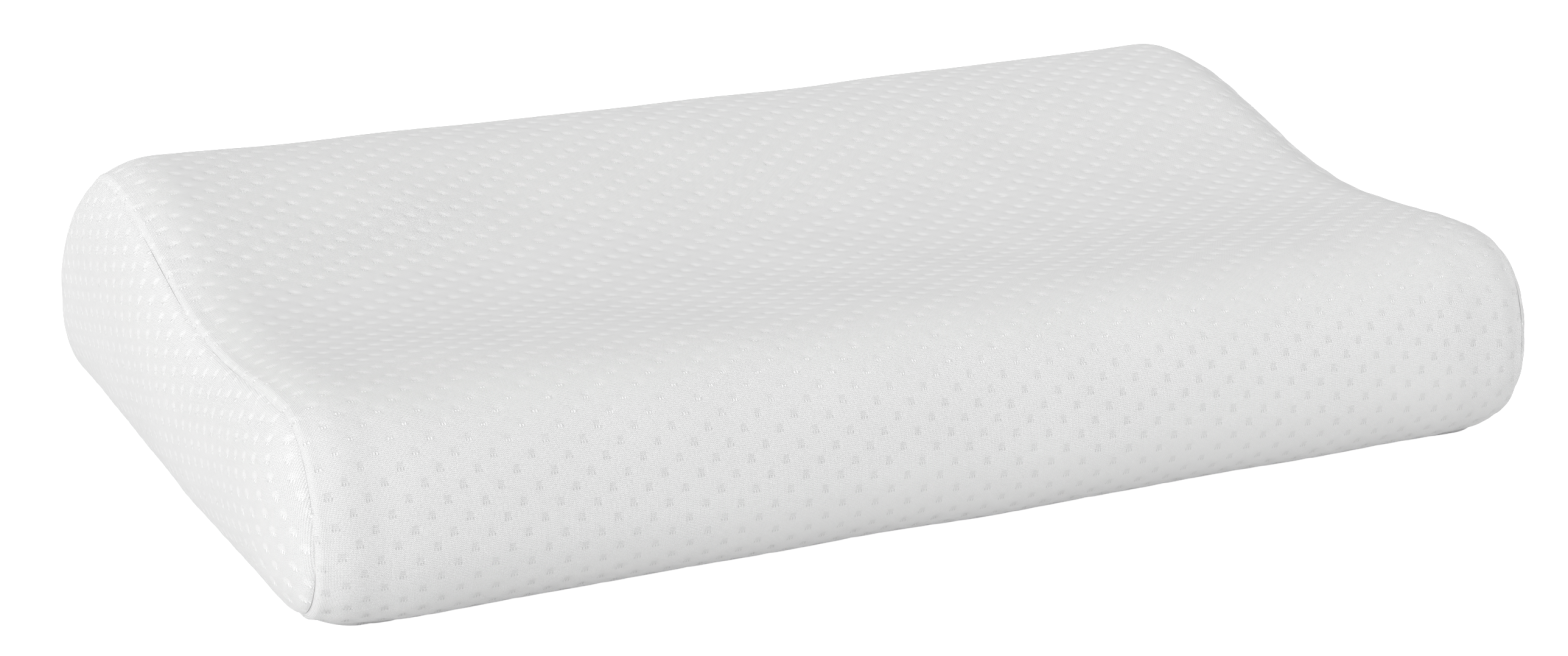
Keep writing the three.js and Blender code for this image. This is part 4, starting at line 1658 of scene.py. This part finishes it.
@dataclass
class Studio:
    """The floor, the light and the camera."""

    back: tuple = (-0.4078, -0.8631, 0.2980)
    eye: tuple = (-0.5034, -1.0704, 0.4011)
    roll: float = -0.30
    lens: float = 76.54
    floor_size: float = 30.0
    sky: float = 0.735
    surround: float = 1.2
    lights: tuple = (
        ("left_softbox", (-0.94, -0.15, 0.32), 0.385, 30.0),
        ("front_softbox", (-0.25, -0.66, 0.71), 0.36, 16.0),
    )
    floor_tone: float = 0.9
    floor_glow: float = 0.8
    floor_lift: float = 0.07

    def build_camera(self) -> None:
        """The camera, at the usual three-quarter view."""
        data = bpy.data.cameras.new("camera")
        data.lens = self.lens
        data.sensor_width = 36.0
        data.clip_end = 100.0
        camera = bpy.data.objects.new("camera", data)
        bpy.context.collection.objects.link(camera)
        back = Vector(self.back).normalized()
        right = Vector((0, 0, 1)).cross(back).normalized()
        up = back.cross(right)
        angle = math.radians(self.roll)
        turned_right = right * math.cos(angle) + up * math.sin(angle)
        turned_up = up * math.cos(angle) - right * math.sin(angle)
        world = camera.matrix_world.copy()
        for row in range(3):
            world[row] = (turned_right[row], turned_up[row], back[row], self.eye[row])
        camera.matrix_world = world
        bpy.context.scene.camera = camera

    def build_floor(self) -> None:
        """A pale floor that is brighter to the eye than to the object."""
        clear_selection()
        bpy.ops.mesh.primitive_plane_add(size=self.floor_size, location=(0, 0, -0.0002))
        floor = bpy.context.object
        floor.name = "studio_floor"
        material = bpy.data.materials.new("studio_floor")
        material.use_nodes = True
        board = NodeBoard(material.node_tree)
        board.tree.nodes.clear()
        matte = board.add("ShaderNodeBsdfDiffuse")
        matte.inputs["Color"].default_value = (self.floor_tone,) * 3 + (1,)
        glow = board.add("ShaderNodeEmission")
        ray = board.add("ShaderNodeLightPath")
        strength = board.mul_add(ray.outputs["Is Camera Ray"], self.floor_glow, self.floor_lift)
        board.feed(glow.inputs["Strength"], strength)
        both = board.add("ShaderNodeAddShader")
        board.feed(both.inputs[0], matte.outputs[0])
        board.feed(both.inputs[1], glow.outputs[0])
        leave = board.add("ShaderNodeOutputMaterial")
        board.feed(leave.inputs["Surface"], both.outputs[0])
        floor.data.materials.append(material)

    def build_light(self) -> None:
        """An even white surround, and broad soft lights from the left and the front."""
        scene = bpy.context.scene
        world = bpy.data.worlds.new("studio")
        world.use_nodes = True
        scene.world = world
        board = NodeBoard(world.node_tree)
        sky = world.node_tree.nodes["Background"]
        sky.inputs["Color"].default_value = (1, 1, 1, 1)
        ray = board.add("ShaderNodeLightPath")
        lift = board.mul_add(ray.outputs["Is Camera Ray"], self.surround - self.sky, self.sky)
        board.feed(sky.inputs["Strength"], lift)
        for name, direction, power, spread in self.lights:
            data = bpy.data.lights.new(name, "SUN")
            data.energy = power * math.pi
            data.angle = math.radians(spread)
            light = bpy.data.objects.new(name, data)
            light.rotation_euler = Vector(direction).to_track_quat("Z", "Y").to_euler()
            bpy.context.collection.objects.link(light)
        scene.view_settings.view_transform = "Standard"

    def build(self) -> None:
        """Build the studio."""
        self.build_camera()
        self.build_floor()
        self.build_light()


def main() -> None:
    """Build the pillow and its studio in order."""
    logging.basicConfig(level=logging.INFO, format="%(name)s %(message)s")
    Studio().build()
    form = PillowForm()
    finishes = Finishes()
    CoreAndLiner(form).build(finishes)
    KnittedCover(form).build(finishes)
    EndSeams(form).build(finishes)
    ZipFastener().build(finishes)


if __name__ == "__main__":
    main()
